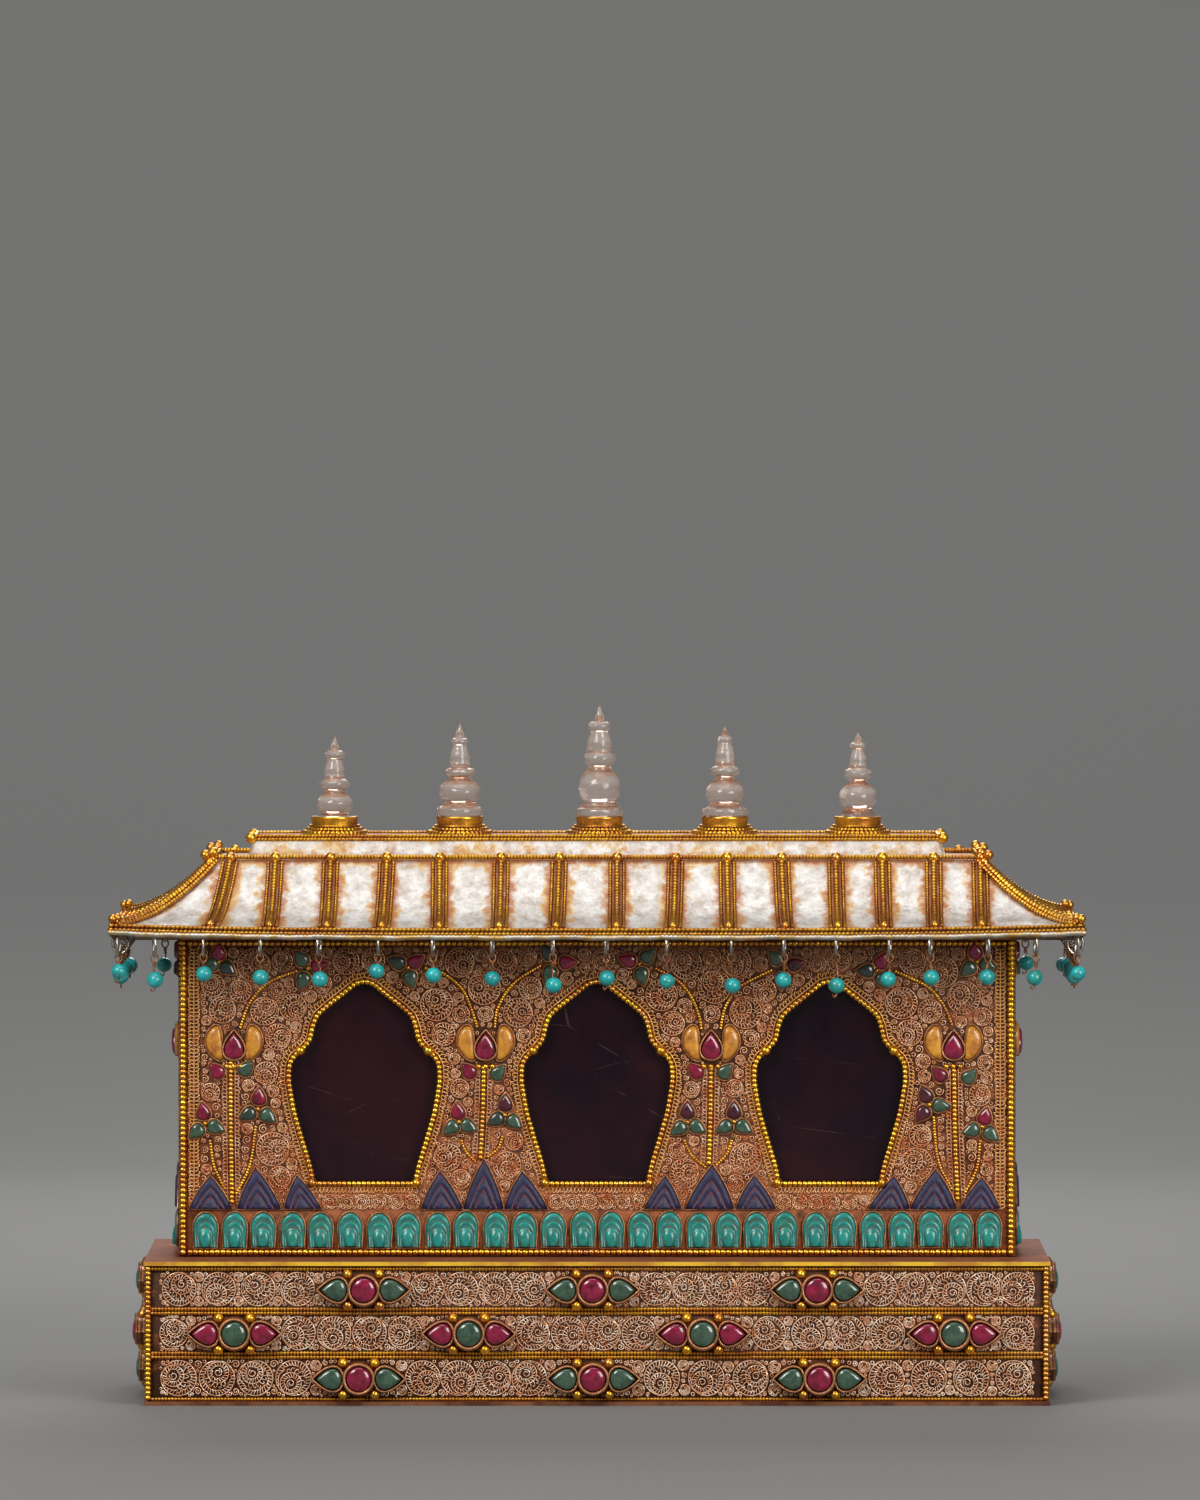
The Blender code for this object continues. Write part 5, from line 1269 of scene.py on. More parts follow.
def cup(mesh, box):
    """A gilt cup with beaded collars about its foot."""
    low, high = box
    centre = ((low.x + high.x) / 2, (low.y + high.y) / 2)
    rim = 8.75 * MM
    outline = [(11.0 * MM, low.z), (11.2 * MM, low.z + 0.7 * MM), (9.6 * MM, low.z + 1.5 * MM),
               (rim - 0.2 * MM, low.z + 2.4 * MM), (rim - 0.4 * MM, low.z + 3.2 * MM),
               (rim, high.z - 0.8 * MM), (rim + 0.15 * MM, high.z - 0.3 * MM), (rim - 0.2 * MM, high.z),
               (rim - 0.75 * MM, high.z - 0.1 * MM), (rim - 0.85 * MM, high.z - 3.1 * MM),
               (0.0, high.z - 3.1 * MM)]
    # Low tones at the cup's foot and inside it, where the gilt finish paints shade
    tones = np.array((0.1, 0.2, 0.1, 0.1, 0.5, 0.8, 1.0, 1.0, 0.5, 0.1, 0.1))
    lathe(mesh, outline, centre, 40, tones)
    for radius, height, size, pitch in CUP_COLLARS:
        circle = moved(round_outline(radius * MM, 48), centre)
        path = np.column_stack([circle, np.full(48, low.z + height * MM)])
        beaded(mesh, path, pitch * MM, size * MM, 6, 3 if radius > 9.5 else 2, closed=True, jitter=0.03)


def crystal_outline(cut, seat, tip):
    """The outline of a crystal finial, from its foot up."""
    def up(row):
        return min(LENS_HEIGHT - (row - LENS_ROW) * FINIAL_PIXEL, tip)

    def swell(first, last, inner, widest, steps, roundness):
        rows = np.linspace(last, first, steps)
        bulge = np.sin(np.linspace(0.0, math.pi, steps)) ** roundness
        return [((inner + (widest - inner) * b) * FINIAL_PIXEL, up(row)) for row, b in zip(rows, bulge)]

    foot_row, foot_half = cut["foot"]
    rim = seat + 2.9 * MM
    outline = [(7.2 * MM, seat), (7.45 * MM, seat + 0.3 * MM), (7.45 * MM, rim)]
    foot_half = foot_half * FINIAL_PIXEL
    if up(foot_row) > rim + 1.2 * MM:
        outline += [(foot_half * 0.97, rim + 0.25 * MM), (foot_half, rim + 0.7 * MM),
                    (foot_half, up(foot_row) - 0.6 * MM), (foot_half * 0.96, up(foot_row) - 0.1 * MM)]
    neck_row, neck = cut["neck"]
    waist_row, waist = cut["waist"]
    outline.append((waist * FINIAL_PIXEL, up(waist_row)))
    first, last, widest = cut["bulb"]
    outline += swell(first, last, min(neck, waist) * 1.08, widest, 13, 0.62)[1:-1]
    outline.append((neck * FINIAL_PIXEL, up(neck_row)))
    first, last, widest = cut["ring"]
    outline += swell(first, last, neck * 1.1, widest, 9, 0.45)
    widest_row, body_row, body = cut["body"]
    outline += [(body * 0.9 * FINIAL_PIXEL, up(body_row)), (body * FINIAL_PIXEL, up(widest_row))]
    first, last, widest = cut["knop"]
    middle = (widest_row + last) / 2
    shoulder = (body * 0.62 + cut["throat"] * 0.38) * FINIAL_PIXEL
    outline += [(shoulder, up(middle)), (cut["throat"] * FINIAL_PIXEL, up(last + 1.2))]
    outline += swell(first, last, cut["throat"], widest, 7, 0.5)
    spike_row, spike = cut["spike"]
    outline += [(spike * FINIAL_PIXEL, up(spike_row)),
                (spike * 0.62 * FINIAL_PIXEL, up((spike_row + cut["tip"]) / 2)),
                (spike * 0.28 * FINIAL_PIXEL, up(cut["tip"] + 2.5)), (0.0, up(cut["tip"]))]
    heights = np.maximum.accumulate([height for _, height in outline])
    return np.column_stack([[radius for radius, _ in outline], heights])


def creases(outline):
    """A tone for each point of a turned outline: nought in its grooves, one on its swells."""
    radius, height = outline[:, 0], outline[:, 1]
    wide = np.array([radius[np.abs(height - here) < 2.2 * MM].max() for here in height])
    return np.clip(1.0 - (wide - radius) / (1.6 * MM), 0.0, 1.0)


def fringe(beads, copper, rings):
    """The pendants: a silver ring, a loop and a twist of copper wire, and a turquoise bead on it."""
    places = [(name, "front") for name in FRONT_PENDANTS]
    places += [(name, "side") for name in SIDE_PENDANTS]
    spots = []
    for i, (name, kind) in enumerate(places):
        low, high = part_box(name)
        x, y = (low.x + high.x) / 2, (low.y + high.y) / 2
        spots.append((x, y, low.z + BEAD_MIDDLE, kind))
        if kind == "front" and 0 < i < len(FRONT_PENDANTS) - 1:
            spots.append((x, -y, low.z + BEAD_MIDDLE, "front"))
    for sx in (-1, 1):
        spots.append((sx * (ROOF_HALF[0] - 4 * MM), ROOF_HALF[1] - 4 * MM, EAVE_LOW.z - 14.3 * MM, "side"))
    for x, y, height, kind in spots:
        turned = math.pi / 2 if kind == "front" else 0.0
        turned += RANDOM.uniform(-0.22, 0.22)
        lean = RANDOM.uniform(-0.6, 0.6, 2) * MM
        out = np.array((math.cos(turned), math.sin(turned), 0.0))
        top = np.array((x, y, EAVE_LOW.z - 1.6 * MM))
        angle = math.tau * np.arange(18) / 18
        oval = top + out * np.cos(angle)[:, None] * 2.9 * MM + np.outer(np.sin(angle), (0, 0, 3.9 * MM))
        tube(rings, oval, 0.55 * MM, 6, closed=True)
        centre = np.array((x + lean[0], y + lean[1], height))
        cross = np.array((-math.sin(turned), math.cos(turned), 0.0))
        bottom = top - (0, 0, 3.9 * MM)
        eye = bottom - (0, 0, 0.7 * MM)
        ring_angle = angle[::2]
        loop = eye + cross * np.cos(ring_angle)[:, None] * 1.25 * MM
        loop = loop + np.outer(np.sin(ring_angle), (0, 0, 1.7 * MM))
        tube(copper, loop, 0.33 * MM, 5, closed=True)
        start = eye - (0, 0, 1.7 * MM)
        steps = np.linspace(0.0, 1.0, 8)[:, None]
        bow = np.sin(steps * math.pi) * np.array((*RANDOM.uniform(-0.5, 0.5, 2), 0.0)) * MM
        tube(copper, start + (centre - start) * steps + bow, 0.33 * MM, 5)
        for turn in range(3):
            coil = moved(round_outline(0.55 * MM, 8), start[:2] - lean * 0.2)
            coil = np.column_stack([coil, np.full(8, start[2] - (0.4 + 0.62 * turn) * MM)])
            tube(copper, coil, 0.26 * MM, 4, closed=True)
        size = RANDOM.uniform(2.95, 3.1) * MM
        ball(beads, centre, size, rings=9, sides=16, squash=RANDOM.uniform(0.93, 1.0))
        hook = np.array([(0, 0), (0.15, -0.8), (0.9, -1.5), (1.5, -1.0), (1.2, -0.4)]) * MM
        curl_path = centre - (0, 0, 2.8 * MM) + cross * hook[:, :1] + np.outer(hook[:, 1], (0, 0, 1))
        tube(copper, curl_path, 0.33 * MM, 5)


# Finishes

# Heights over which the plinth's colours turn into the house's, its powder thins and the eave's shade begins
HOUSE_FOOT = (0.052, 0.056)
POWDER_SPAN = (0.07, 0.13)
SHADE_SPAN = (0.138, 0.170)
# The same for the sheet behind the wires
RECESS_FOOT = (0.050, 0.056)
RECESS_SPAN = (0.056, 0.125)


class Finish:
    """A Principled material and short calls for the nodes before it."""

    def __init__(self, name, metallic=0.0, roughness=0.4, **values):
        self.material = bpy.data.materials.new(name)
        self.material.use_nodes = True
        self.tree = self.material.node_tree
        self.shader = self.tree.nodes["Principled BSDF"]
        self.shader.inputs["Metallic"].default_value = metallic
        self.shader.inputs["Roughness"].default_value = roughness
        for key, value in values.items():
            self.shader.inputs[key.replace("_", " ")].default_value = value
        self.place = self.tree.nodes.new("ShaderNodeTexCoord").outputs["Object"]

    def link(self, value, socket):
        """Feeds a node's output, a number or a colour into a socket."""
        if isinstance(value, bpy.types.NodeSocket):
            self.tree.links.new(value, socket)
        else:
            socket.default_value = value if not isinstance(value, tuple) or len(value) != 3 else (*value, 1.0)

    def tone(self):
        """The share stored with the mesh: nought in crevices, one on peaks."""
        node = self.tree.nodes.new("ShaderNodeAttribute")
        node.attribute_name = "tone"
        return node.outputs["Fac"]

    def stretched(self, scale):
        """The place in the object, stretched."""
        node = self.tree.nodes.new("ShaderNodeMapping")
        node.inputs["Scale"].default_value = scale
        self.link(self.place, node.inputs["Vector"])
        return node.outputs["Vector"]

    def noise(self, size, detail=4.0, roughness=0.6, distortion=0.0):
        """Cloudy noise whose features are about a size."""
        node = self.tree.nodes.new("ShaderNodeTexNoise")
        node.inputs["Scale"].default_value = 1.0 / size
        node.inputs["Detail"].default_value = detail
        node.inputs["Roughness"].default_value = roughness
        node.inputs["Distortion"].default_value = distortion
        self.link(self.place, node.inputs["Vector"])
        return node.outputs["Fac"]

    def cells(self, size, place=None):
        """How far a spot is from the edge of its cell."""
        node = self.tree.nodes.new("ShaderNodeTexVoronoi")
        node.feature = "DISTANCE_TO_EDGE"
        node.inputs["Scale"].default_value = 1.0 / size
        self.link(place or self.place, node.inputs["Vector"])
        return node.outputs["Distance"]

    def height(self):
        """The height over the ground, in metres."""
        node = self.tree.nodes.new("ShaderNodeSeparateXYZ")
        self.link(self.place, node.inputs["Vector"])
        return node.outputs["Z"]

    def math(self, kind, first, second=0.5):
        """Works out one value from one or two others."""
        node = self.tree.nodes.new("ShaderNodeMath")
        node.operation = kind
        self.link(first, node.inputs[0])
        self.link(second, node.inputs[1])
        return node.outputs[0]

    def plus(self, first, second):
        """Adds two values."""
        return self.math("ADD", first, second)

    def times(self, first, second):
        """Multiplies two values."""
        return self.math("MULTIPLY", first, second)

    def span(self, value, low, high, start=0.0, end=1.0):
        """Maps a stretch of values onto another, and holds them within it."""
        node = self.tree.nodes.new("ShaderNodeMapRange")
        for key, number in (("From Min", low), ("From Max", high), ("To Min", start), ("To Max", end)):
            node.inputs[key].default_value = number
        self.link(value, node.inputs["Value"])
        return node.outputs["Result"]

    def mix(self, share, first, second):
        """Goes from one colour to another as a share grows."""
        node = self.tree.nodes.new("ShaderNodeMix")
        node.data_type = "RGBA"
        self.link(share, node.inputs["Factor"])
        self.link(first, node.inputs["A"])
        self.link(second, node.inputs["B"])
        return next(socket for socket in node.outputs if socket.type == "RGBA")

    def wash(self, base, colour, value, low, high, most):
        """Lays a colour over a base where a value is high, at most up to a share."""
        return self.mix(self.span(value, low, high, 0.0, most), base, colour)

    def noisy_tone(self, noise, low, high):
        """The tone, made uneven by noise."""
        return self.plus(self.tone(), self.span(noise, 0.3, 0.7, low, high))

    def colour(self, value):
        """Sets the colour."""
        self.link(value, self.shader.inputs["Base Color"])

    def rough(self, value):
        """Sets how rough it is."""
        self.link(value, self.shader.inputs["Roughness"])

    def bump(self, value, depth, strength=0.6):
        """Dents the surface by a value, to a depth."""
        node = self.tree.nodes.new("ShaderNodeBump")
        node.inputs["Distance"].default_value = depth
        node.inputs["Strength"].default_value = strength
        self.link(value, node.inputs["Height"])
        self.link(node.outputs["Normal"], self.shader.inputs["Normal"])


def gilt_beads():
    """Bright fire-gilt beads, worn to copper in places, with painted shade darkening them to orange-brown
    where they meet.
    """
    made = Finish("gilt_beads", metallic=1.0)
    patch = made.noise(14 * MM, 4)
    fleck = made.noise(1.6 * MM, 3)
    gold = made.mix(made.span(patch, 0.42, 0.60), (0.88, 0.47, 0.040), (0.66, 0.26, 0.045))
    gold = made.wash(gold, (0.98, 0.68, 0.13), fleck, 0.52, 0.75, 0.6)
    worn = made.span(made.noise(26 * MM, 3), 0.58, 0.70, 0.0, 0.55)
    gold = made.mix(worn, gold, (0.72, 0.34, 0.16))
    # Painted shade: the beads darken to deep orange-brown in the necks and creases between them
    depth = made.noisy_tone(fleck, -0.25, 0.20)
    made.colour(made.mix(made.span(depth, 0.08, 0.85), (0.15, 0.030, 0.005), gold))
    made.rough(made.span(depth, 0.1, 1.0, 0.60, 0.27))
    made.bump(made.noise(0.7 * MM, 2), 0.12 * MM, 0.5)
    return made.material


def filigree_wire():
    """Rosy copper wire, its tops pale against painted shade that darkens its feet, gilt in the columns, with
    orange-red powder low on the house and painted shadow of the eave at its head.
    """
    made = Finish("filigree_wire", metallic=0.45)
    patch = made.noise(15 * MM, 4)
    fleck = made.noise(2.0 * MM, 3)
    wire = made.mix(made.span(patch, 0.36, 0.64), (0.84, 0.42, 0.20), (0.96, 0.62, 0.38))
    wire = made.wash(wire, (1.0, 0.88, 0.73), fleck, 0.46, 0.62, 0.92)
    wire = made.wash(wire, (0.80, 0.36, 0.12), made.height(), *HOUSE_FOOT, 0.5)
    thinning = made.span(made.height(), *POWDER_SPAN, 0.85, 0.25)
    low = made.times(made.span(made.height(), *HOUSE_FOOT), thinning)
    powder = made.times(made.span(made.noise(7 * MM, 5, 0.7), 0.46, 0.62), made.plus(low, 0.42))
    wire = made.mix(powder, wire, (0.72, 0.21, 0.07))
    # Painted shadow of the eave: the wire darkens towards the head of the house
    wire = made.wash(wire, (0.30, 0.15, 0.07), made.height(), *SHADE_SPAN, 0.66)
    gold = made.times(made.span(patch, 0.38, 0.55, 0.35, 0.92), made.span(made.tone(), 0.61, 0.72))
    wire = made.mix(gold, wire, (0.86, 0.46, 0.06))
    # Painted shade: the wire darkens to deep brown towards its feet, where the tone is low
    depth = made.noisy_tone(fleck, -0.15, 0.15)
    made.colour(made.mix(made.span(depth, 0.06, 0.46), (0.19, 0.060, 0.022), wire))
    made.rough(made.span(patch, 0.3, 0.7, 0.24, 0.36))
    made.bump(made.noise(0.5 * MM, 2), 0.08 * MM, 0.5)
    return made.material


def recess():
    """The sheet behind the filigree, painted near-black as shade between the wires, with orange-red powder
    caught in it low on the house.
    """
    made = Finish("recess_painted_shade", metallic=0.2, roughness=0.75)
    house = made.span(made.height(), *RECESS_FOOT)
    level = made.span(made.height(), *RECESS_SPAN, 0.12, -0.05)
    shift = made.plus(made.times(house, made.plus(level, 0.10)), -0.10)
    cloud = made.plus(made.noise(5 * MM, 6, 0.75), shift)
    # Painted shade: the near-black base stands in for the shade in the gaps between the wires
    base = made.mix(made.noise(2 * MM, 4), (0.012, 0.006, 0.004), (0.150, 0.058, 0.026))
    made.colour(made.wash(base, (0.46, 0.145, 0.050), cloud, 0.42, 0.64, 0.9))
    made.bump(made.noise(0.9 * MM, 3), 0.2 * MM)
    return made.material


def sheet_silver():
    """Beaten sheet silver: pale and mottled, with yellow washes and red-brown edges by the ribs."""
    made = Finish("sheet_silver", metallic=0.50)
    cloud = made.noise(6 * MM, 5, 0.7)
    speck = made.noise(1.1 * MM, 4, 0.7)
    silver = made.mix(made.span(cloud, 0.40, 0.66), (0.69, 0.665, 0.635), (0.40, 0.335, 0.28))
    silver = made.wash(silver, (0.78, 0.765, 0.74), speck, 0.52, 0.68, 0.55)
    edge = made.noisy_tone(made.noise(4 * MM, 4, 0.7), -0.34, 0.34)
    patch = made.span(made.noise(16 * MM, 3), 0.44, 0.58, 0.05, 0.72)
    silver = made.mix(made.times(made.span(edge, 0.30, 0.55), patch), silver, (0.56, 0.33, 0.05))
    silver = made.wash(silver, (0.42, 0.155, 0.065), edge, 0.50, 0.92, 0.95)
    silver = made.wash(silver, (0.12, 0.07, 0.055), speck, 0.62, 0.70, 0.8)
    made.colour(silver)
    made.rough(made.plus(made.span(speck, 0.3, 0.75, 0.32, 0.50), made.span(edge, 0.5, 1.0, 0.0, 0.15)))
    made.bump(made.plus(made.noise(3.0 * MM, 3), made.times(speck, 0.35)), 0.45 * MM, 0.65)
    return made.material


def eave_silver():
    """The silver lip of the eave, yellowed and stained in places, with painted shade darkening the sheet
    behind and under the lip.
    """
    made = Finish("eave_silver", metallic=1.0)
    cloud = made.noise(6 * MM, 5, 0.65)
    fleck = made.noise(1.2 * MM, 3)
    silver = made.mix(made.span(cloud, 0.42, 0.6), (0.74, 0.70, 0.62), (0.70, 0.46, 0.16))
    # Painted shade where the tone is low, behind and under the lip; flecks of the same dark are stains
    made.colour(made.mix(made.span(made.plus(made.tone(), fleck), 0.55, 1.1), (0.16, 0.08, 0.05), silver))
    made.rough(made.span(fleck, 0.3, 0.7, 0.30, 0.55))
    made.bump(made.noise(1.5 * MM, 4), 0.2 * MM)
    return made.material


def copper_sheet(gilt_edge):
    """Dull reddish copper plate, with an edge that is gilt or dark."""
    made = Finish("copper_sheet" if gilt_edge else "copper_base", metallic=0.30, Specular_IOR_Level=0.15)
    cloud = made.noise(18 * MM, 5, 0.65)
    scuff = made.noise(2.2 * MM, 5, 0.7)
    copper = made.mix(made.span(cloud, 0.38, 0.64), (0.21, 0.060, 0.028), (0.30, 0.105, 0.050))
    copper = made.wash(copper, (0.34, 0.17, 0.10), scuff, 0.54, 0.70, 0.5)
    level = made.tree.nodes.new("ShaderNodeNewGeometry").outputs["Normal"]
    split = made.tree.nodes.new("ShaderNodeSeparateXYZ")
    made.link(level, split.inputs["Vector"])
    flat = made.span(made.math("ABSOLUTE", split.outputs["Z"]), 0.3, 0.7)
    bright, worn = (0.24, 0.10, 0.05), (0.10, 0.035, 0.02)
    if gilt_edge:
        bright, worn = (0.92, 0.56, 0.05), (0.60, 0.27, 0.04)
    edge = made.mix(made.span(cloud, 0.44, 0.60), bright, worn)
    edge = made.wash(edge, worn, scuff, 0.60, 0.74, 0.5)
    made.colour(made.mix(flat, edge, copper))
    made.rough(made.plus(made.span(scuff, 0.3, 0.7, 0.26, 0.42), made.times(flat, 0.26)))
    made.bump(scuff, 0.12 * MM, 0.5)
    return made.material


def dull_copper(name="bezel_copper", dark=(0.07, 0.025, 0.015), light=(0.52, 0.24, 0.11), rough=(0.55, 0.38)):
    """Brown copper wire, bright on top: painted shade darkens it in its grooves and at its feet, and it is
    tarnished dark in spots.
    """
    made = Finish(name, metallic=0.95)
    fleck = made.noise(1.8 * MM, 4)
    # Painted shade where the tone is low, in grooves and at the feet of rims and collars; the noise adds
    # tarnish in spots
    depth = made.noisy_tone(fleck, -0.55, 0.25)
    made.colour(made.mix(made.span(depth, 0.0, 0.9), dark, light))
    made.rough(made.span(fleck, 0.3, 0.7, *rough))
    made.bump(made.noise(0.6 * MM, 2), 0.08 * MM)
    return made.material


def silver_wire():
    """Grey silver rings, tarnished in spots."""
    return dull_copper("silver_wire", (0.16, 0.13, 0.10), (0.66, 0.62, 0.55), (0.38, 0.22))


def turquoise(name, dark, light):
    """Turquoise with a brown web, greener in places, and brown in its grooves."""
    made = Finish(name, roughness=0.28, Coat_Weight=0.35, Coat_Roughness=0.18)
    cloud = made.noise(5 * MM, 4, 0.6)
    stone = made.mix(made.span(cloud, 0.35, 0.68), dark, light)
    stone = made.wash(stone, (0.02, 0.17, 0.10), made.noise(11 * MM, 2), 0.54, 0.68, 0.55)
    stone = made.wash(stone, (0.10, 0.42, 0.38), made.noise(1.4 * MM, 3), 0.58, 0.72, 0.35)
    web = made.plus(made.cells(4.2 * MM), made.span(made.noise(1.6 * MM, 3), 0.3, 0.7, -0.03, 0.08))
    stone = made.mix(made.span(web, 0.0, 0.045, 0.9, 0.0), stone, (0.07, 0.04, 0.02))
    groove = made.noisy_tone(made.noise(1.2 * MM, 3), -0.18, 0.30)
    made.colour(made.mix(made.span(groove, 0.05, 0.5), (0.17, 0.05, 0.02), stone))
    made.bump(made.noise(0.8 * MM, 3), 0.08 * MM, 0.4)
    return made.material


def lapis():
    """Dusty blue-violet stone with red-brown powder in its grooves."""
    made = Finish("lapis", roughness=0.48)
    cloud = made.noise(3 * MM, 5, 0.65)
    stone = made.mix(made.span(cloud, 0.35, 0.68), (0.009, 0.010, 0.042), (0.022, 0.023, 0.080))
    stone = made.wash(stone, (0.13, 0.10, 0.15), made.noise(1.1 * MM, 3), 0.62, 0.74, 0.5)
    groove = made.noisy_tone(made.noise(1.4 * MM, 3), -0.15, 0.25)
    made.colour(made.mix(made.span(groove, 0.1, 0.5), (0.34, 0.070, 0.030), stone))
    made.bump(made.noise(1.3 * MM, 4, 0.7), 0.22 * MM, 0.6)
    return made.material


def gem(name, deep, bright, pale, roughness=0.12, pale_share=0.3):
    """A polished cabochon, cloudy within, with a worn skin and painted shade darkening its foot."""
    made = Finish(name, roughness=roughness, Coat_Weight=0.5, Coat_Roughness=0.06, IOR=1.62)
    cloud = made.noise(3.4 * MM, 4, 0.6, 0.6)
    stone = made.mix(made.span(cloud, 0.32, 0.66), deep, bright)
    stone = made.wash(stone, pale, made.noise(1.5 * MM, 4, 0.7), 0.55, 0.75, pale_share)
    # Painted shade: the stone darkens to a third of its deep colour at its foot, where the tone is low
    made.colour(made.mix(made.span(made.tone(), 0.0, 0.25), tuple(c * 0.35 for c in deep), stone))
    made.rough(made.span(made.noise(1.0 * MM, 3), 0.35, 0.7, roughness * 0.7, roughness * 2.2))
    made.bump(made.noise(1.1 * MM, 3), 0.06 * MM, 0.3)
    return made.material


def dark_glass():
    """The panes: nearly black wine-red glass with fine scratches."""
    made = Finish("dark_glass", roughness=0.12, IOR=1.5, Specular_IOR_Level=0.3)
    cloud = made.noise(45 * MM, 3)
    base = made.mix(made.span(cloud, 0.38, 0.62), (0.0095, 0.0035, 0.0070), (0.0230, 0.0055, 0.0090))
    scratch = made.cells(34 * MM, made.stretched((0.35, 1.0, 1.25)))
    line = made.span(scratch, 0.0, 0.0035, 1.0, 0.0)
    line = made.times(line, made.span(made.noise(13 * MM, 3), 0.50, 0.66, 0.0, 0.45))
    dust = made.span(made.noise(0.9 * MM, 3, 0.8), 0.70, 0.78, 0.0, 0.35)
    haze = made.math("MAXIMUM", line, dust)
    made.colour(made.mix(haze, base, (0.16, 0.12, 0.11)))
    smear = made.span(made.noise(10 * MM, 4), 0.35, 0.7, 0.06, 0.16)
    made.rough(made.plus(smear, made.times(haze, 0.4)))
    return made.material


def rock_crystal():
    """Rock crystal, see-through and warm, with flaws within and orange-red powder in its grooves."""
    made = Finish("rock_crystal", roughness=0.05, IOR=1.46, Transmission_Weight=0.88)
    cloud = made.noise(4 * MM, 5, 0.7)
    stone = made.mix(made.span(cloud, 0.35, 0.7), (1.0, 0.93, 0.87), (1.0, 0.80, 0.68))
    groove = made.noisy_tone(made.noise(3 * MM, 4), -0.25, 0.45)
    made.colour(made.mix(made.span(groove, 0.05, 0.55), (0.92, 0.45, 0.26), stone))
    made.bump(made.plus(cloud, made.noise(1.2 * MM, 3)), 0.22 * MM, 0.35)
    return made.material


# Stage

SWEEP_START, SWEEP_RADIUS, SWEEP_END = 1.3, 1.2, 1.14
SWEEP_HALF_WIDTH, SWEEP_FRONT = 5.0, -3.2
LIGHT_AIM = Vector((0.0, 0.0, 0.13))
# Each light's name, place, size, power and colour
LIGHTS = (("key", (-1.2, -1.7, 1.5), 1.0, 36.0, (1.0, 0.98, 0.95)),
          ("fill", (1.4, -1.9, 0.8), 1.1, 32.0, (1.0, 0.98, 0.96)),
          ("top", (0.0, -0.4, 2.0), 1.3, 12.0, (1.0, 1.0, 1.0)),
          ("rim", (0.0, 1.1, 1.0), 0.7, 8.0, (1.0, 0.99, 0.97)))
SKY = (0.90, 0.92, 0.96, 1.0)
SKY_STRENGTH = 0.20
CAMERA_SIDEWAYS, CAMERA_DISTANCE, CAMERA_DIP = 1.1 * MM, 4.69, 1.8176
SENSOR_HEIGHT, LENS_LENGTH, SIGHT = 36.0, 303.12, 30.0


def backdrop(ground):
    """A pale table that curves up into a grey backdrop, with painted light brightening its colour towards the
    back.
    """
    angles = np.linspace(0.1, SWEEP_END, 12)
    profile = [(SWEEP_FRONT, 0.0), (SWEEP_START, 0.0)]
    profile += [(SWEEP_START + SWEEP_RADIUS * math.sin(angle), SWEEP_RADIUS - SWEEP_RADIUS * math.cos(angle))
                for angle in angles]
    sweep = Mesh()
    points = [(x, y, z) for y, z in profile for x in (-SWEEP_HALF_WIDTH, SWEEP_HALF_WIDTH)]
    sweep.add(points, grid_faces(len(profile), 2, False))
    made = Finish("studio_sweep", roughness=0.85)
    depth = made.tree.nodes.new("ShaderNodeSeparateXYZ")
    made.link(made.place, depth.inputs["Vector"])
    # Painted light: the colour brightens from the floor up the backdrop, to lift the backdrop that the lamps
    # light less
    shade = made.span(depth.outputs["Y"], -0.6, 1.6)
    pale = made.mix(made.noise(60 * MM, 3), (0.142, 0.141, 0.140), (0.152, 0.151, 0.150))
    made.colour(made.mix(shade, pale, (0.300, 0.297, 0.293)))
    floor = sweep.build("studio_floor", [made.material])
    floor.location.z = ground


def lights():
    """Soft lights and a faint sky."""
    world = bpy.data.worlds.new("studio")
    bpy.context.scene.world = world
    world.use_nodes = True
    world.node_tree.nodes["Background"].inputs["Color"].default_value = SKY
    world.node_tree.nodes["Background"].inputs["Strength"].default_value = SKY_STRENGTH
    for name, place, size, power, colour in LIGHTS:
        light = bpy.data.lights.new(name, "AREA")
        light.energy = power
        light.size = size
        light.color = colour
        lamp = bpy.data.objects.new(name, light)
        lamp.location = place
        lamp.rotation_euler = (LIGHT_AIM - Vector(place)).to_track_quat("-Z", "Y").to_euler()
        bpy.context.collection.objects.link(lamp)


def camera():
    """The photo's own view: a long lens, a little above the box."""
    bpy.context.scene.view_settings.view_transform = "Standard"
    lens = bpy.data.cameras.new("camera")
    lens.sensor_fit = "VERTICAL"
    lens.sensor_height = SENSOR_HEIGHT
    lens.lens = LENS_LENGTH
    lens.clip_end = SIGHT
    made = bpy.data.objects.new("camera", lens)
    made.location = (CAMERA_SIDEWAYS, -CAMERA_DISTANCE, LENS_HEIGHT)
    made.rotation_euler = (math.radians(90.0 - CAMERA_DIP), 0.0, 0.0)
    bpy.context.collection.objects.link(made)
    bpy.context.scene.camera = made


def inlaid_stones():
    """The finishes of the stones, in the order of their numbers."""
    return [gem("ruby", (0.09, 0.001, 0.012), (0.30, 0.003, 0.045), (0.52, 0.07, 0.15)),
            gem("jade", (0.018, 0.050, 0.028), (0.055, 0.110, 0.070), (0.22, 0.28, 0.19)),
            gem("dark_jade", (0.012, 0.026, 0.018), (0.028, 0.052, 0.038), (0.12, 0.14, 0.10)),
            gem("garnet", (0.030, 0.004, 0.010), (0.10, 0.008, 0.022), (0.24, 0.09, 0.10)),
            gem("amber", (0.38, 0.11, 0.006), (0.74, 0.33, 0.02), (0.86, 0.56, 0.14), 0.25),
            turquoise("turquoise", (0.006, 0.18, 0.155), (0.012, 0.30, 0.25)), lapis()]


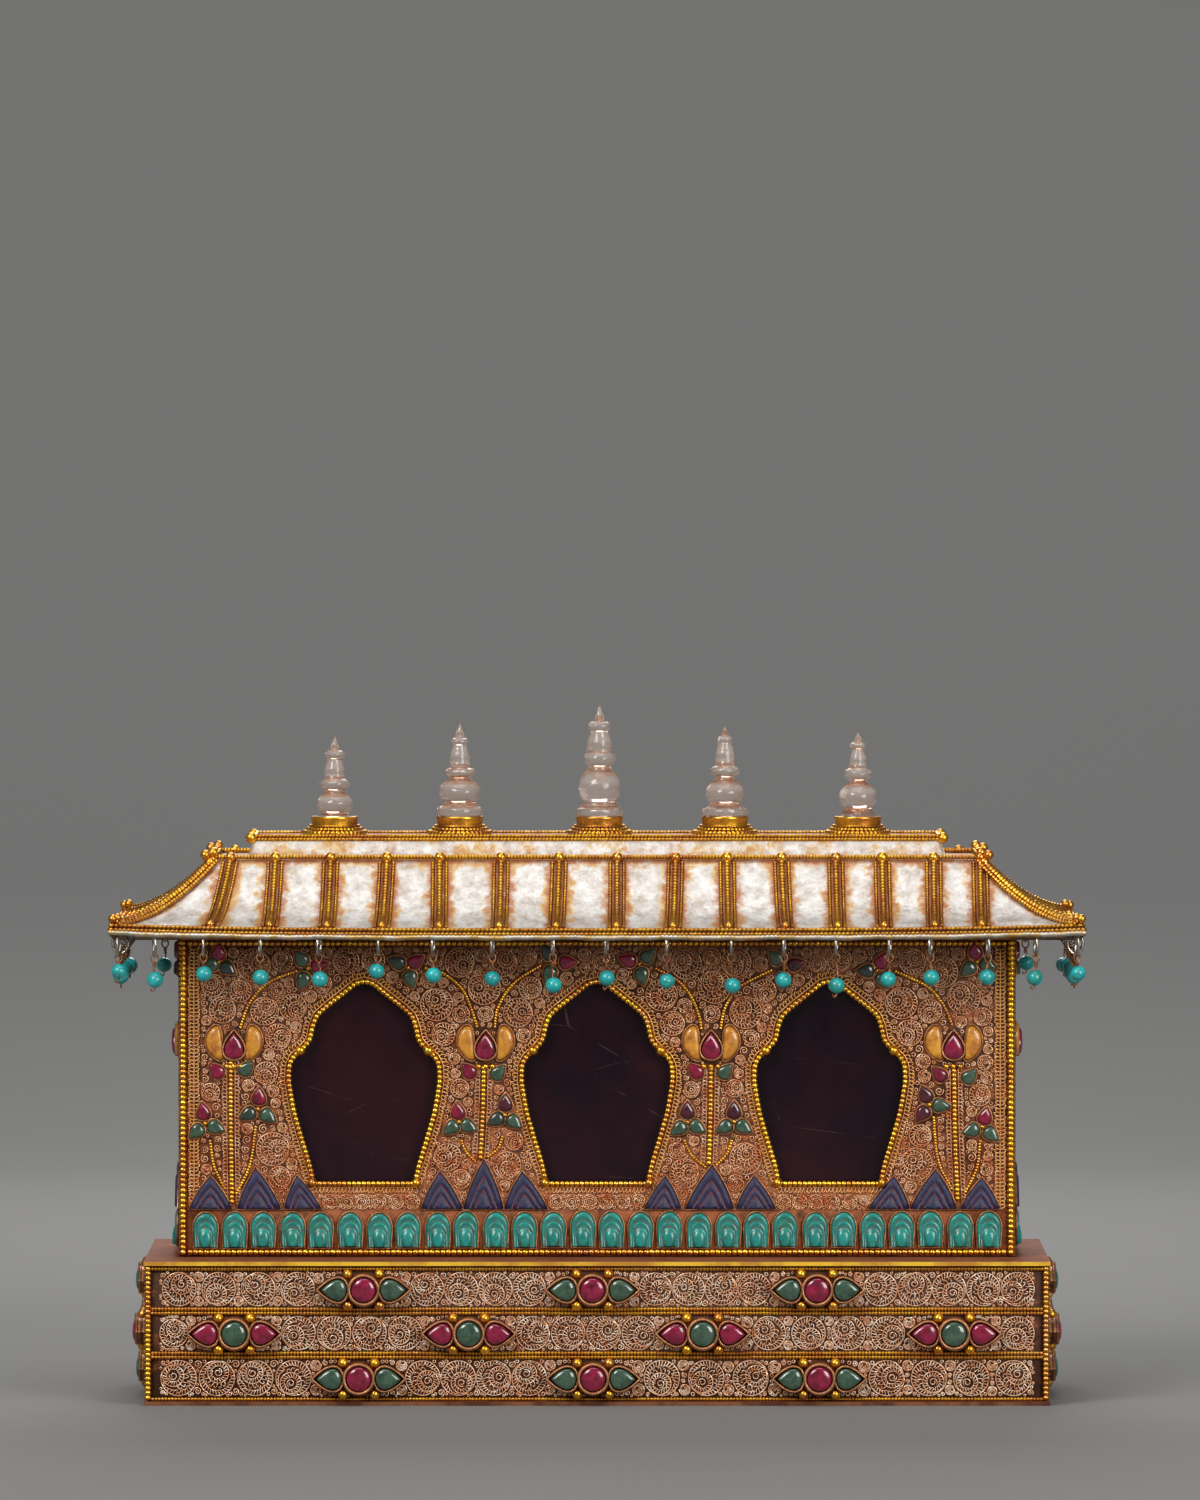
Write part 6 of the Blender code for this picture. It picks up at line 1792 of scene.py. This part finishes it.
# Each piece's name, finish and slot, and the solids that it takes the place of
SIDES = ("front", "back", "left", "right")
PIECES = [
    ("house_plates", "recess", GILT, ["house_%s_wall" % side for side in SIDES]),
    ("plinth_plates", "recess", GILT, ["plinth_%s_panel" % side for side in SIDES]),
    ("house_front_filigree", "wire", GILT, []),
    ("house_back_filigree", "wire", GILT, []),
    ("house_side_filigree", "wire", GILT, []),
    ("plinth_front_filigree", "wire", GILT, []),
    ("plinth_back_filigree", "wire", GILT, []),
    ("plinth_side_filigree", "wire", GILT, []),
    ("house_stones", "stones", STONE, []),
    ("plinth_stones", "ruby_and_jade", STONE, []),
    ("house_bezels", "copper", COPPER, []),
    ("plinth_bezels", "copper", COPPER, []),
    ("house_balls", "gilt", GILT, []),
    ("plinth_balls", "gilt", GILT, []),
    ("house_beaded_wires", "gilt", GILT, []),
    ("plinth_beaded_ropes", "gilt", GILT, []),
    ("roof_sheets", "silver", SILVER, ["roof_shell"]),
    ("eave_sheet", "eave", SILVER, ["eave_plate"]),
    ("roof_ribs_and_beads", "gilt", GILT, []),
    ("roof_balls", "gilt", GILT, []),
    ("gilt_cups", "gilt", GILT, ["finial_cup_%d" % (i + 1) for i in range(5)]),
    ("turquoise_beads", "bead", STONE, FRONT_PENDANTS + SIDE_PENDANTS),
    ("fringe_wires", "copper", COPPER, []),
    ("fringe_rings", "ring", SILVER, []),
]
PIECES += [("rock_crystal_%d" % (i + 1), "crystal", "rock_crystal", ["crystal_finial_%d" % (i + 1)])
           for i in range(5)]


def shapes():
    """Builds the mesh of every piece."""
    meshes = {name: Mesh() for name, _, _, _ in PIECES}
    house, plinth = ({name[len(start):]: mesh for name, mesh in meshes.items() if name.startswith(start)}
                     for start in ("house_", "plinth_"))
    plates(meshes)
    house_front(house)
    house_back(house)
    house_sides(house)
    plinth_dress(plinth)
    roof_sheets(meshes["roof_sheets"])
    eave_sheet(meshes["eave_sheet"])
    eave_beads(meshes["roof_ribs_and_beads"], meshes["roof_balls"])
    ribs(meshes["roof_ribs_and_beads"], meshes["roof_balls"])
    for box in CUPS:
        cup(meshes["gilt_cups"], box)
    fringe(meshes["turquoise_beads"], meshes["fringe_wires"], meshes["fringe_rings"])
    for i, (cut, (low, high)) in enumerate(zip(FINIALS, CRYSTALS)):
        outline = crystal_outline(dict(zip(FINIAL_PARTS, cut)), low.z, high.z)
        middle = ((low.x + high.x) / 2, (low.y + high.y) / 2)
        lathe(meshes["rock_crystal_%d" % (i + 1)], outline, middle, 48, creases(outline))
    return meshes


def main():
    """Dresses the whole box."""
    meshes = shapes()
    stones = inlaid_stones()
    bead = turquoise("turquoise_bead", (0.008, 0.27, 0.28), (0.02, 0.48, 0.47))
    finishes = {"recess": [recess()], "wire": [filigree_wire()], "stones": stones,
                "ruby_and_jade": stones[:2],
                "copper": [dull_copper()], "gilt": [gilt_beads()], "silver": [sheet_silver()],
                "eave": [eave_silver()], "bead": [bead], "ring": [silver_wire()], "crystal": [rock_crystal()]}
    for name, finish, slot, nodes in PIECES:
        piece = meshes[name].build(name, finishes[finish])
        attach(piece, "root")
        if nodes:
            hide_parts(*nodes)

    glass = dark_glass()
    top_copper, base_copper = copper_sheet(True), copper_sheet(False)
    for node, finish in (("window_pane_left", glass), ("window_pane_middle", glass),
                         ("window_pane_right", glass), ("plinth_base_plate", base_copper),
                         ("plinth_top_plate", top_copper)):
        for slot in bpy.data.objects[node].material_slots:
            slot.material = finish
    backdrop(PLINTH_LOW.z)
    lights()
    camera()


main()
